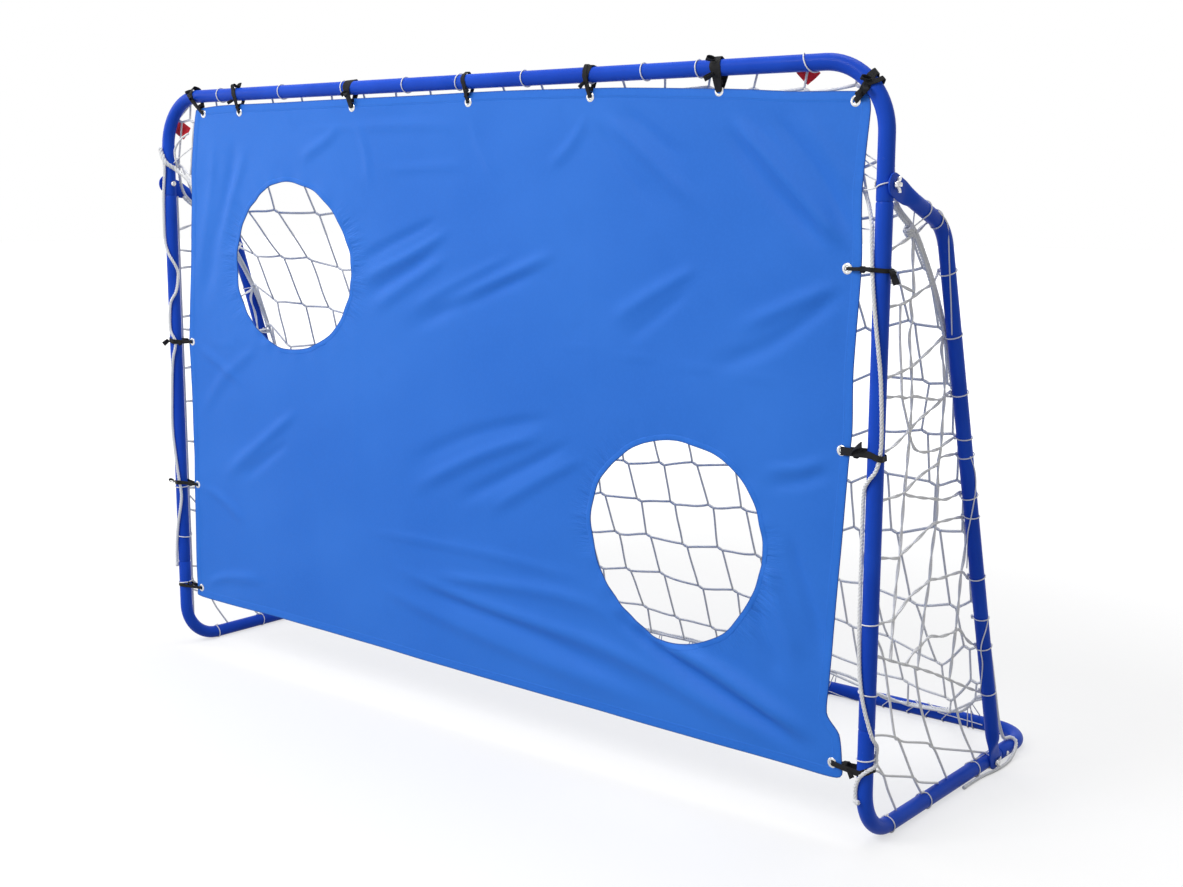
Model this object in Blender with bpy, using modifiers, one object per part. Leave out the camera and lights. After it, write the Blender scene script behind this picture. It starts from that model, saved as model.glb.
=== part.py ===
# Training goal with a net and a target screen.
# Metres, +Z up. X is the width of the mouth, -Y is the shooting side.
# The origin is on the floor, under the middle of the frame.

import math

import bmesh
import bpy
from mathutils import Matrix, Vector

# Frame of round steel tube
FRAME_WIDTH = 2.150
FRAME_HEIGHT = 1.500
FRAME_DEPTH = 0.800
TUBE_DIAMETER = 0.032
TUBE_WALL = 0.0013
TUBE_SIDES = 12
TOP_BEND_RADIUS = 0.130
FOOT_BEND_RADIUS = 0.100
REAR_BEND_RADIUS = 0.080
BEND_STEPS = 6

# Push-fit joints: a necked tube end stands inside the next tube
SPIGOT_LENGTH = 0.055
SPIGOT_NECK = 0.004
SPIGOT_CLEARANCE = 0.0003
HEAD_DROP = 0.2665
POST_FOOT_JOINT = 0.240
REAR_RETURN = 0.200

# Back stays, bent once and flattened at both ends
STAY_DIAMETER = 0.030
STAY_BEND_BACK_SHARE = 0.2525
STAY_BEND_DROP = 0.314
STAY_BEND_RADIUS = 0.085
STAY_BEND_STEPS = 5
STAY_FOOT_SHORT = 0.047
PIVOT_DROP = 0.237
TAB_THICKNESS = 0.0038
TAB_WIDTH = 0.044
TAB_NOSE_TOP = 0.020
TAB_NOSE_FOOT = 0.0145
TAB_FLAT_TOP = 0.040
TAB_FLAT_FOOT = 0.021
TAB_FLARE = 0.045
TAB_NOSE_SHARES = (-0.96, -0.72, -0.36, 0.0)

# Bolts
BOLT_DIAMETER = 0.008
BOLT_HOLE_CLEARANCE = 0.0003
BOLT_HEAD_DIAMETER = 0.0145
BOLT_HEAD_HEIGHT = 0.0050
BOLT_TIP_PAST_NUT = 0.004
NUT_HUB_DIAMETER = 0.014
NUT_HUB_HEIGHT = 0.0085
WING_SPAN = 0.032
WING_RISE = 0.016
WING_THICKNESS = 0.0026
SCREW_DIAMETER = 0.005
SCREW_HEAD_DIAMETER = 0.0095
SCREW_HEAD_HEIGHT = 0.0028
SCREW_PAST_JOINT = 0.022
SEAT_GAP = 0.0003

# Target screen of coated cloth with two round holes
SCREEN_SIDE_GAP = 0.072
SCREEN_TOP_GAP = 0.040
SCREEN_BOTTOM = 0.134
SCREEN_THICKNESS = 0.0016
SCREEN_COLUMNS = 22
SCREEN_ROWS = 15
SCREEN_CORNER_DROP = 0.035
SCREEN_CORNER_INSET = 0.085
HOLE_DIAMETER = 0.430
HOLE_ACROSS_SHARE = 0.58325
HOLE_UP_SHARE = 0.17467
HOLE_SIDES = 26
FOLD_DEPTH = 0.006
FOLD_PITCH = 0.310
FOLD_FREE = 0.115
FOLD_EASE = 0.100

# Eyelets pressed into the screen's hem, and the straps through them
EYELET_DIAMETER = 0.021
EYELET_BORE = 0.0095
EYELET_BARREL = 0.0125
EYELET_FLANGE = 0.0009
EYELET_SIDES = 10
TOP_EYELET_SHARES = (-0.84186, -0.70698, -0.32093, 0.02791, 0.34884, 0.64651)
TOP_EYELET_INSET = 0.020
SIDE_EYELET_INSET = 0.016
LEFT_EYELET_SHARES = (0.56533, 0.30733)
RIGHT_EYELET_SHARES = (0.74000, 0.51333)
LEFT_FOOT_EYELET_RISE = 0.040
RIGHT_FOOT_EYELET_RISE = 0.021
CORNER_EYELET_ANGLE = math.radians(42)
CORNER_EYELET_REACH = 0.087
STRAP_WIDTH = 0.020
STRAP_NARROW = 0.0048
STRAP_THICKNESS = 0.0014
STRAP_CLEARANCE = 0.0004
STRAP_CORNER_CLEARANCE = 0.0012
STRAP_BIGHT = 0.0024
STRAP_BIGHT_RISE = 0.0015
STRAP_ARC_STEPS = 10

# Net of knotted twine, with its edge ropes
NET_MESH = 0.150
TWINE_THICKNESS = 0.0045
NET_CLEARANCE = 0.0003
ROPE_DIAMETER = 0.0080
NET_SIDE_INSET = 0.018
NET_CORNER_CUT_ACROSS = 0.120
NET_CORNER_CUT_DOWN = 0.150
NET_SIDE_TOP_SHARE = 0.810
NET_CORNER_SHARES = ((0.035, 0.88667), (0.05625, 0.82333), (0.1675, 0.780), (0.290, 0.69533), (0.385, 0.59267),
                     (0.48125, 0.42667), (0.58125, 0.26667), (0.66625, 0.19533), (0.7325, 0.100))
NET_FLAT_SHARE = 0.50
NET_DRAWN_IN_SHARE = 0.84
HEM_INSET = 0.066
HEM_HEIGHT = 0.090
TAG_SIZE = 0.036
TAG_THICKNESS = 0.0010
TAG_SIDE_INSETS = {"left": 0.083, "right": 0.160}
TAG_DROPS = {"left": 0.095, "right": 0.035}
CORNER_ROPE_KNEE_SHARES = (0.7575, 0.062)
CORNER_ROPE_FOOT_SHARES = (0.8075, 0.8350)
HEM_ROPE_SHORT = 0.0016
ROPE_BOW = 0.004
ROPE_SEAT = 0.001
POST_ROPE_SHARES = ((0.79333, 160), (0.76667, 128), (0.74133, 98), (0.700, 94), (0.640, 70), (0.580, 43), (0.51333, 2),
                    (0.45333, 25), (0.37667, 61), (0.31333, 82), (0.260, 91), (0.220, 50), (0.180, 16), (0.150, 10))

# Worked out from the sizes above
TUBE_RADIUS = TUBE_DIAMETER / 2
STAY_RADIUS = STAY_DIAMETER / 2
BOLT_RADIUS = BOLT_DIAMETER / 2
ROPE_RADIUS = ROPE_DIAMETER / 2
TWINE_RADIUS = TWINE_THICKNESS / 2
ROPE_SIDES = 6
ROPE_REACH = ROPE_RADIUS / math.cos(math.pi / ROPE_SIDES)
TUBE_REACH = TUBE_RADIUS / math.cos(math.pi / TUBE_SIDES)
STRAP_REACH = TUBE_REACH + STRAP_CLEARANCE + STRAP_THICKNESS
POST_X = FRAME_WIDTH / 2 - TUBE_RADIUS
POST_Y = -(FRAME_DEPTH / 2 - TUBE_RADIUS)
REAR_Y = FRAME_DEPTH / 2 - TUBE_RADIUS
BAR_Z = FRAME_HEIGHT - TUBE_RADIUS
FLOOR_BAR_Z = TUBE_RADIUS
TAB_X = FRAME_WIDTH / 2 + SEAT_GAP + TAB_THICKNESS / 2
NET_SIDE_X = FRAME_WIDTH / 2 - NET_SIDE_INSET
POST_TOP_JOINT = FRAME_HEIGHT - HEAD_DROP
SIDE_JOINT_BACK = FRAME_DEPTH - REAR_RETURN
PIVOT_HEIGHT = FRAME_HEIGHT - PIVOT_DROP
STAY_BEND_BACK = FRAME_DEPTH * STAY_BEND_BACK_SHARE
STAY_BEND_HEIGHT = FRAME_HEIGHT - STAY_BEND_DROP
STAY_FOOT_BACK = SIDE_JOINT_BACK - STAY_FOOT_SHORT
SCREW_BACK = SIDE_JOINT_BACK + SCREW_PAST_JOINT
SCREEN_HALF_WIDTH = FRAME_WIDTH / 2 - SCREEN_SIDE_GAP
SCREEN_TOP = FRAME_HEIGHT - SCREEN_TOP_GAP
SCREEN_MIDDLE_Z = (SCREEN_TOP + SCREEN_BOTTOM) / 2
HOLE_OFFSET_ACROSS = SCREEN_HALF_WIDTH * HOLE_ACROSS_SHARE
HOLE_OFFSET_UP = FRAME_HEIGHT * HOLE_UP_SHARE
TOP_EYELET_HEIGHT = SCREEN_TOP - TOP_EYELET_INSET
SIDE_EYELET_ACROSS = SCREEN_HALF_WIDTH - SIDE_EYELET_INSET
TOP_EYELET_ACROSS = [FRAME_WIDTH / 2 * share for share in TOP_EYELET_SHARES]
LEFT_EYELET_HEIGHTS = [FRAME_HEIGHT * share for share in LEFT_EYELET_SHARES] + [SCREEN_BOTTOM + LEFT_FOOT_EYELET_RISE]
RIGHT_EYELET_HEIGHTS = [FRAME_HEIGHT * share for share in RIGHT_EYELET_SHARES] + [SCREEN_BOTTOM + RIGHT_FOOT_EYELET_RISE]
NET_SIDE_TOP = FRAME_HEIGHT * NET_SIDE_TOP_SHARE
HEM_BACK = FRAME_DEPTH - HEM_INSET
SIDES = {"left": -1, "right": 1}

for old in list(bpy.data.objects):
    bpy.data.objects.remove(old, do_unlink=True)

PARTS = bpy.data.collections.new("training_goal")
CUTTERS = bpy.data.collections.new("cutters")
bpy.context.scene.collection.children.link(PARTS)
bpy.context.scene.collection.children.link(CUTTERS)


def material(name, colour, roughness, metallic):
    made = bpy.data.materials.new(name)
    made.use_nodes = True
    made.diffuse_color = (*colour, 1)
    shader = made.node_tree.nodes["Principled BSDF"]
    shader.inputs["Base Color"].default_value = (*colour, 1)
    shader.inputs["Roughness"].default_value = roughness
    shader.inputs["Metallic"].default_value = metallic
    return made


BLUE_PAINT = material("blue_paint", (0.035, 0.060, 0.380), 0.28, 0.0)
SCREEN_CLOTH = material("screen_cloth", (0.050, 0.185, 0.680), 0.55, 0.0)
NET_TWINE = material("net_twine", (0.700, 0.710, 0.720), 0.75, 0.0)
EDGE_ROPE = material("edge_rope", (0.780, 0.800, 0.810), 0.80, 0.0)
NICKEL = material("nickel", (0.720, 0.710, 0.690), 0.25, 1.0)
BLACK_WEB = material("black_web", (0.012, 0.012, 0.013), 0.65, 0.0)
RED_TAG = material("red_tag", (0.620, 0.020, 0.030), 0.60, 0.0)


def place(obj, finish=None, cutter=False):
    """Link a new object to its collection, and give it its finish."""
    for owner in list(obj.users_collection):
        owner.objects.unlink(obj)
    if cutter:
        CUTTERS.objects.link(obj)
        obj.hide_render = True
        obj.display_type = "WIRE"
    else:
        PARTS.objects.link(obj)
        obj.data.materials.clear()
        obj.data.materials.append(finish)
    return obj


def from_bmesh(name, mesh_edit, finish=None, cutter=False):
    data = bpy.data.meshes.new(name)
    mesh_edit.to_mesh(data)
    mesh_edit.free()
    return place(bpy.data.objects.new(name, data), finish, cutter)


def settle(obj):
    """Turn an object's evaluated shape into its own plain mesh."""
    bpy.context.view_layer.update()
    graph = bpy.context.evaluated_depsgraph_get()
    data = bpy.data.meshes.new_from_object(obj.evaluated_get(graph))
    if obj.type == "MESH":
        obj.modifiers.clear()
        obj.data = data
        return obj
    made = bpy.data.objects.new(obj.name + "_mesh", data)
    made.matrix_world = obj.matrix_world
    for owner in obj.users_collection:
        owner.objects.link(made)
    name = obj.name
    bpy.data.objects.remove(obj, do_unlink=True)
    made.name = name
    return made


def weld(data, distance=0.00001):
    edit = bmesh.new()
    edit.from_mesh(data)
    bmesh.ops.remove_doubles(edit, verts=edit.verts, dist=distance)
    bmesh.ops.recalc_face_normals(edit, faces=edit.faces)
    edit.to_mesh(data)
    edit.free()


def smooth(obj, degrees=35):
    obj.data.shade_smooth()
    obj.data.set_sharp_from_angle(angle=math.radians(degrees))


def cut(obj, cutter, operation="DIFFERENCE"):
    step = obj.modifiers.new(cutter.name, "BOOLEAN")
    step.object = cutter
    step.operation = operation
    step.solver = "EXACT"


def cylinder(name, radius, length, middle, axis, sides=16, finish=None):
    """A cylinder about a point: a solid's corners lie at the radius, a cutter's flats do."""
    edit = bmesh.new()
    rim = radius if finish else radius / math.cos(math.pi / sides)
    bmesh.ops.create_cone(edit, cap_ends=True, segments=sides, radius1=rim, radius2=rim, depth=length)
    obj = from_bmesh(name, edit, finish, cutter=finish is None)
    obj.rotation_mode = "QUATERNION"
    obj.rotation_quaternion = Vector((0, 0, 1)).rotation_difference(Vector(axis))
    obj.location = middle
    return obj


def rounded_path(corners, radius, steps):
    """Straight runs between corners, with each inner corner turned on an arc."""
    points = [Vector(corners[0])]
    for before, corner, after in zip(corners, corners[1:], corners[2:]):
        corner = Vector(corner)
        into = (corner - Vector(before)).normalized()
        away = (Vector(after) - corner).normalized()
        half_turn = into.angle(away) / 2
        setback = radius * math.tan(half_turn)
        centre = corner + (away - into).normalized() * (radius / math.cos(half_turn))
        start = corner - into * setback
        arm = start - centre
        turn_axis = into.cross(away).normalized()
        for step in range(steps + 1):
            angle = 2 * half_turn * step / steps
            points.append(centre + Matrix.Rotation(angle, 3, turn_axis) @ arm)
    points.append(Vector(corners[-1]))
    return points


def swept(name, path, radius, resolution, finish, scales=None, closed_ends=True):
    """A round bar along a path; its flats lie at the radius and face the axes."""
    sides = 4 + 2 * resolution
    curve = bpy.data.curves.new(name, "CURVE")
    curve.dimensions = "3D"
    curve.fill_mode = "FULL"
    curve.twist_mode = "MINIMUM"
    curve.resolution_u = 1
    curve.render_resolution_u = 0
    curve.bevel_depth = radius / math.cos(math.pi / sides)
    curve.bevel_resolution = resolution
    curve.use_fill_caps = closed_ends
    spline = curve.splines.new("POLY")
    spline.points.add(len(path) - 1)
    for index, point in enumerate(path):
        spline.points[index].co = (*point, 1)
        spline.points[index].radius = scales[index] if scales else 1
        spline.points[index].tilt = math.pi / sides
    obj = place(bpy.data.objects.new(name, curve), finish)
    obj = settle(obj)
    weld(obj.data)
    smooth(obj)
    return obj


def tube_piece(name, corners, bend_radius, spigot_at_start, spigot_at_end):
    """One hollow frame tube, necked where it enters its neighbour."""
    corners = [Vector(corner) for corner in corners]
    neck_scale = (TUBE_RADIUS - TUBE_WALL - SPIGOT_CLEARANCE) / TUBE_RADIUS
    ends = {}
    for end, here, inward in (("start", corners[0], corners[1]), ("end", corners[-1], corners[-2])):
        out = (here - inward).normalized()
        ends[end] = (here - out * SPIGOT_NECK, here, here + out * SPIGOT_LENGTH)
    path = rounded_path(corners, bend_radius, BEND_STEPS)
    scales = [1.0] * len(path)
    if spigot_at_start:
        shoulder, mouth, tip = ends["start"]
        path[0:1] = [tip, mouth, shoulder]
        scales[0:1] = [neck_scale, neck_scale, 1.0]
    if spigot_at_end:
        shoulder, mouth, tip = ends["end"]
        path[-1:] = [shoulder, mouth, tip]
        scales[-1:] = [1.0, neck_scale, neck_scale]
    resolution = (TUBE_SIDES - 4) // 2
    obj = swept(name, path, TUBE_RADIUS, resolution, BLUE_PAINT, scales, closed_ends=False)
    turn_outward(obj, path)
    wall = obj.modifiers.new("wall", "SOLIDIFY")
    wall.thickness = TUBE_WALL
    wall.offset = -1
    wall.use_even_offset = True
    return obj


def turn_outward(obj, path):
    """Make an open sleeve's faces point away from its path."""
    face = obj.data.polygons[len(obj.data.polygons) // 2]
    middle = Vector(face.center)
    nearest = min(path, key=lambda point: (point - middle).length)
    if face.normal.dot(middle - nearest) < 0:
        obj.data.flip_normals()


def build_frame():
    """Eight tubes: two top halves, two posts, two foot elbows, two rear halves."""
    pieces = {}
    for side, sign in SIDES.items():
        x = sign * POST_X
        top = [(0, POST_Y, BAR_Z), (x, POST_Y, BAR_Z), (x, POST_Y, POST_TOP_JOINT)]
        pieces["top", side] = tube_piece("top_bar_" + side, top, TOP_BEND_RADIUS, side == "left", False)
        post = [(x, POST_Y, POST_FOOT_JOINT), (x, POST_Y, POST_TOP_JOINT)]
        pieces["post", side] = tube_piece("post_" + side, post, 0, False, True)
        foot = [(x, POST_Y, POST_FOOT_JOINT), (x, POST_Y, FLOOR_BAR_Z), (x, POST_Y + SIDE_JOINT_BACK, FLOOR_BAR_Z)]
        pieces["foot", side] = tube_piece("ground_bar_" + side, foot, FOOT_BEND_RADIUS, True, True)
        rear = [(x, POST_Y + SIDE_JOINT_BACK, FLOOR_BAR_Z), (x, REAR_Y, FLOOR_BAR_Z), (0, REAR_Y, FLOOR_BAR_Z)]
        pieces["rear", side] = tube_piece("rear_bar_" + side, rear, REAR_BEND_RADIUS, False, side == "left")
    for side, sign in SIDES.items():
        drill = BOLT_RADIUS + BOLT_HOLE_CLEARANCE
        pivot = cylinder("pivot_hole_" + side, drill, 2 * TUBE_DIAMETER,
                         (sign * POST_X, POST_Y, PIVOT_HEIGHT), (sign, 0, 0))
        cut(pieces["top", side], pivot)
        cut(pieces["post", side], pivot)
        anchor = cylinder("foot_hole_" + side, drill, 2 * TUBE_DIAMETER,
                          (sign * POST_X, POST_Y + STAY_FOOT_BACK, FLOOR_BAR_Z), (sign, 0, 0))
        cut(pieces["foot", side], anchor)
        thread = cylinder("screw_hole_" + side, SCREW_DIAMETER / 2 + BOLT_HOLE_CLEARANCE, TUBE_DIAMETER,
                          (sign * (POST_X + TUBE_RADIUS), POST_Y + SCREW_BACK, FLOOR_BAR_Z), (sign, 0, 0), 12)
        cut(pieces["foot", side], thread)
        cut(pieces["rear", side], thread)


def stay_section(round_radius, half_thickness, half_width, flatness):
    """Twelve points of a section between a circle and a pressed flat strip."""
    points = []
    for step in range(12):
        angle = math.radians(30 * step)
        circle = (round_radius * math.cos(angle), round_radius * math.sin(angle))
        across = {0: 0.0, 1: 0.5, 2: 1.0}.get(min(step % 6, 6 - step % 6), 1.0)
        edge = half_width - 0.6 * half_thickness if across == 1.0 else half_width * across
        thick = math.copysign(half_thickness, math.cos(angle))
        pressed = (thick, math.copysign(edge, math.sin(angle)) if step % 6 else 0.0)
        if step in (3, 9):
            pressed = (0.0, math.copysign(half_width, math.sin(angle)))
        points.append(tuple(c + (p - c) * flatness for c, p in zip(circle, pressed)))
    return points


def stay_stations():
    """Places along a stay: middle in Y and Z, direction, flatness and width share."""
    pivot = Vector((0, POST_Y, PIVOT_HEIGHT))
    bend = Vector((0, POST_Y + STAY_BEND_BACK, STAY_BEND_HEIGHT))
    foot = Vector((0, POST_Y + STAY_FOOT_BACK, FLOOR_BAR_Z))
    stations = []
    for end, toward, nose, flat in ((pivot, bend, TAB_NOSE_TOP, TAB_FLAT_TOP),
                                    (foot, bend, TAB_NOSE_FOOT, TAB_FLAT_FOOT)):
        along = (toward - end).normalized()
        group = []
        for share in TAB_NOSE_SHARES:
            group.append((end + along * nose * share, 1.0, math.sqrt(1 - share * share)))
        group.append((end + along * flat, 1.0, 1.0))
        for share in (0.3, 0.7, 1.0):
            ease = share * share * (3 - 2 * share)
            group.append((end + along * (flat + TAB_FLARE * share), 1 - ease, 1.0))
        stations.append(group)
    arc = rounded_path([pivot, bend, foot], STAY_BEND_RADIUS, STAY_BEND_STEPS)[1:-1]
    middle = [(point, 0.0, 1.0) for point in arc]
    return stations[0] + middle + list(reversed(stations[1]))


def build_stays():
    """A bent tube on the outer face of each post, pressed flat at both bolts."""
    stations = stay_stations()
    for side, sign in SIDES.items():
        edit = bmesh.new()
        shells = []
        for shell, inset in (("outer", 0.0), ("inner", TUBE_WALL)):
            rings = []
            for index, (middle, flatness, share) in enumerate(stations):
                before = stations[max(index - 1, 0)][0]
                after = stations[min(index + 1, len(stations) - 1)][0]
                along = (after - before).normalized()
                across = Vector((0, -along.z, along.y))
                half_width = TAB_WIDTH / 2 * share - inset
                section = stay_section(STAY_RADIUS - inset, TAB_THICKNESS / 2 - inset, half_width, flatness)
                centre = Vector((sign * TAB_X, middle.y, middle.z))
                rings.append([edit.verts.new(centre + Vector((u * sign, 0, 0)) + across * v) for u, v in section])
            shells.append(rings)
            for first, second in zip(rings, rings[1:]):
                for k in range(12):
                    corner = [first[k], first[(k + 1) % 12], second[(k + 1) % 12], second[k]]
                    edit.faces.new(corner if shell == "outer" else corner[::-1])
        outer, inner = shells
        for end in (0, -1):
            for k in range(12):
                edit.faces.new([outer[end][k], outer[end][(k + 1) % 12], inner[end][(k + 1) % 12], inner[end][k]])
        bmesh.ops.recalc_face_normals(edit, faces=edit.faces)
        stay = from_bmesh("stay_" + side, edit, BLUE_PAINT)
        smooth(stay, 40)
        for label, back, height in (("top", 0, PIVOT_HEIGHT), ("foot", STAY_FOOT_BACK, FLOOR_BAR_Z)):
            hole = cylinder("stay_hole_%s_%s" % (label, side), BOLT_RADIUS + BOLT_HOLE_CLEARANCE, STAY_DIAMETER,
                            (sign * TAB_X, POST_Y + back, height), (1, 0, 0))
            cut(stay, hole)


def turned(name, profile, steps, finish):
    """A profile of radius and height, listed from the top, turned about Z."""
    edit = bmesh.new()
    points = [edit.verts.new((radius, 0, height)) for radius, height in profile]
    for first, second in zip(points, points[1:]):
        edit.edges.new((first, second))
    obj = from_bmesh(name, edit, finish)
    screw = obj.modifiers.new("turn", "SCREW")
    screw.axis = "Z"
    screw.angle = math.radians(360)
    screw.steps = steps
    screw.render_steps = steps
    screw.use_merge_vertices = True
    screw.merge_threshold = 0.00005
    screw.use_normal_calculate = False
    return obj


def aim(obj, point, axis):
    obj.rotation_mode = "QUATERNION"
    obj.rotation_quaternion = Vector((0, 0, 1)).rotation_difference(Vector(axis))
    obj.location = point


def dome_bolt(name, reach, axis_point, axis):
    """A round-headed bolt: the head's seat is at the point, the shank runs back by the reach."""
    head = BOLT_HEAD_DIAMETER / 2
    profile = [(0, BOLT_HEAD_HEIGHT)]
    for angle in (30, 60):
        rise = math.cos(math.radians(angle))
        profile.append((head * math.sin(math.radians(angle)), BOLT_HEAD_HEIGHT * (0.3 + 0.7 * rise)))
    profile += [(head, BOLT_HEAD_HEIGHT * 0.3), (head, 0), (BOLT_RADIUS, 0), (BOLT_RADIUS, -reach), (0, -reach)]
    bolt = turned(name, profile, 12, NICKEL)
    aim(bolt, axis_point, axis)
    return bolt


def wing_nut_mesh(stub):
    """A hub with two upswept wings, bored for its bolt, or with a stub shank of the given length."""
    foot = NUT_HUB_DIAMETER / 2
    crown = foot * 0.90
    if stub:
        profile = [(0, NUT_HUB_HEIGHT), (crown, NUT_HUB_HEIGHT), (foot, 0), (BOLT_RADIUS, 0), (BOLT_RADIUS, -stub),
                   (0, -stub)]
    else:
        bore = (BOLT_RADIUS + BOLT_HOLE_CLEARANCE) / math.cos(math.pi / 12)
        profile = [(bore, NUT_HUB_HEIGHT), (crown, NUT_HUB_HEIGHT), (foot, 0), (bore, 0), (bore, NUT_HUB_HEIGHT)]
    hub = turned("wing_nut", profile, 12, NICKEL)
    settle(hub)
    weld(hub.data)
    outline = bpy.data.curves.new("wings", "CURVE")
    outline.dimensions = "2D"
    outline.fill_mode = "BOTH"
    outline.extrude = WING_THICKNESS / 2
    half = WING_SPAN / 2
    root = NUT_HUB_DIAMETER * 0.36
    wing = [(root, 0.0012), (half * 0.80, NUT_HUB_HEIGHT * 0.45), (half, WING_RISE * 0.70), (half * 0.93, WING_RISE),
             (half * 0.72, WING_RISE * 0.97), (root, NUT_HUB_HEIGHT * 0.50)]
    for mirror in (1, -1):
        spline = outline.splines.new("POLY")
        spline.points.add(len(wing) - 1)
        for index, (across, up) in enumerate(wing):
            spline.points[index].co = (mirror * across, up, 0, 1)
        spline.use_cyclic_u = True
    wings = place(bpy.data.objects.new("wings", outline), NICKEL)
    wings = settle(wings)
    weld(wings.data)
    place(wings, cutter=True)
    wings.rotation_euler = (math.radians(90), 0, 0)
    cut(hub, wings, "UNION")
    settle(hub)
    data = hub.data
    bpy.data.objects.remove(hub, do_unlink=True)
    return data


def build_fasteners():
    """Pivot and foot bolts with their wing nuts, and the joint screws."""
    bored_nut = wing_nut_mesh(0)
    stub_nut = wing_nut_mesh(TAB_THICKNESS + SEAT_GAP)
    inner_face = POST_X - TUBE_RADIUS - SEAT_GAP
    outer_face = TAB_X + TAB_THICKNESS / 2 + SEAT_GAP
    for side, sign in SIDES.items():
        reach = outer_face - inner_face + NUT_HUB_HEIGHT + BOLT_TIP_PAST_NUT
        dome_bolt("pivot_bolt_" + side, reach, (sign * inner_face, POST_Y, PIVOT_HEIGHT), (-sign, 0, 0))
        nut = place(bpy.data.objects.new("pivot_wing_nut_" + side, bored_nut), NICKEL)
        aim(nut, (sign * outer_face, POST_Y, PIVOT_HEIGHT), (sign, 0, 0))
        foot_y = POST_Y + STAY_FOOT_BACK
        dome_bolt("foot_bolt_" + side, TUBE_DIAMETER + SEAT_GAP, (sign * inner_face, foot_y, FLOOR_BAR_Z), (-sign, 0, 0))
        nut = place(bpy.data.objects.new("foot_wing_nut_" + side, stub_nut), NICKEL)
        aim(nut, (sign * outer_face, foot_y, FLOOR_BAR_Z), (sign, 0, 0))
        head = SCREW_HEAD_DIAMETER / 2
        shank = SCREW_DIAMETER / 2
        length = 2 * TUBE_WALL + 0.004
        profile = [(0, SCREW_HEAD_HEIGHT), (head * 0.7, SCREW_HEAD_HEIGHT * 0.85), (head, SCREW_HEAD_HEIGHT * 0.3),
                   (head, 0), (shank, 0), (shank, -length), (0, -length)]
        screw = turned("joint_screw_" + side, profile, 10, NICKEL)
        aim(screw, (sign * (POST_X + TUBE_RADIUS + SEAT_GAP), POST_Y + SCREW_BACK, FLOOR_BAR_Z), (sign, 0, 0))


def eyelet_places():
    """Each eyelet's middle and the tube point that its strap goes round."""
    places = []
    for across in TOP_EYELET_ACROSS:
        places.append(((across, TOP_EYELET_HEIGHT), (across, BAR_Z)))
    corner = Vector((POST_X - TOP_BEND_RADIUS, BAR_Z - TOP_BEND_RADIUS))
    out = Vector((math.cos(CORNER_EYELET_ANGLE), math.sin(CORNER_EYELET_ANGLE)))
    places.append((tuple(corner + out * CORNER_EYELET_REACH), tuple(corner + out * TOP_BEND_RADIUS)))
    for heights, sign in ((RIGHT_EYELET_HEIGHTS, 1), (LEFT_EYELET_HEIGHTS, -1)):
        for height in heights:
            places.append(((sign * SIDE_EYELET_ACROSS, height), (sign * POST_X, height)))
    return places


def screen_fold(x, z, eyelets):
    """How far the cloth swells toward the net: long slanting folds, flat at the eyelets."""
    slant = (x * 0.62 - (z - SCREEN_MIDDLE_Z)) / FOLD_PITCH
    fade_top = min(1.0, max(0.0, (SCREEN_TOP - z) / 0.25))
    depth = FOLD_DEPTH * math.sin(2 * math.pi * slant) * fade_top
    near = min(math.hypot(x - ex, z - ez) for ex, ez in eyelets)
    calm = min(1.0, max(0.0, (near - FOLD_FREE) / FOLD_EASE))
    return depth * calm * calm * (3 - 2 * calm)


def build_screen():
    """The cloth: a mapped grid with drawn-in top corners, two holes and its eyelet holes."""
    eyelets = [eyelet for eyelet, tube in eyelet_places()]
    edit = bmesh.new()
    bmesh.ops.create_grid(edit, x_segments=SCREEN_COLUMNS, y_segments=SCREEN_ROWS, size=1.0)
    for vert in edit.verts:
        u, v = vert.co.x, vert.co.y
        x = u * SCREEN_HALF_WIDTH
        z = SCREEN_MIDDLE_Z + v * (SCREEN_TOP - SCREEN_BOTTOM) / 2
        corner_pull = max(0.0, abs(u) - 0.78) / 0.22 * max(0.0, v - 0.70) / 0.30
        inset = SCREEN_CORNER_INSET if u < 0 else 0.0
        x -= math.copysign(inset * corner_pull, u)
        z -= SCREEN_CORNER_DROP * corner_pull * (0.4 if u < 0 else 1.3)
        vert.co = (x, POST_Y, z)
    cloth = from_bmesh("target_screen", edit, SCREEN_CLOTH)
    wall = cloth.modifiers.new("cloth", "SOLIDIFY")
    wall.thickness = SCREEN_THICKNESS
    wall.offset = 0
    settle(cloth)
    for label, sign in (("upper", -1), ("lower", 1)):
        middle = (sign * HOLE_OFFSET_ACROSS, POST_Y, SCREEN_MIDDLE_Z - sign * HOLE_OFFSET_UP)
        hole = cylinder("target_hole_" + label, HOLE_DIAMETER / 2, 0.1, middle, (0, 1, 0), HOLE_SIDES)
        cut(cloth, hole)
    for index, (x, z) in enumerate(eyelets):
        barrel = EYELET_BARREL / 2 + SEAT_GAP
        hole = cylinder("eyelet_hole_%02d" % (index + 1), barrel, 0.1, (x, POST_Y, z), (0, 1, 0), 8)
        cut(cloth, hole)
    settle(cloth)
    for vert in cloth.data.vertices:
        vert.co.y += screen_fold(vert.co.x, vert.co.z, eyelets)
    smooth(cloth)


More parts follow.
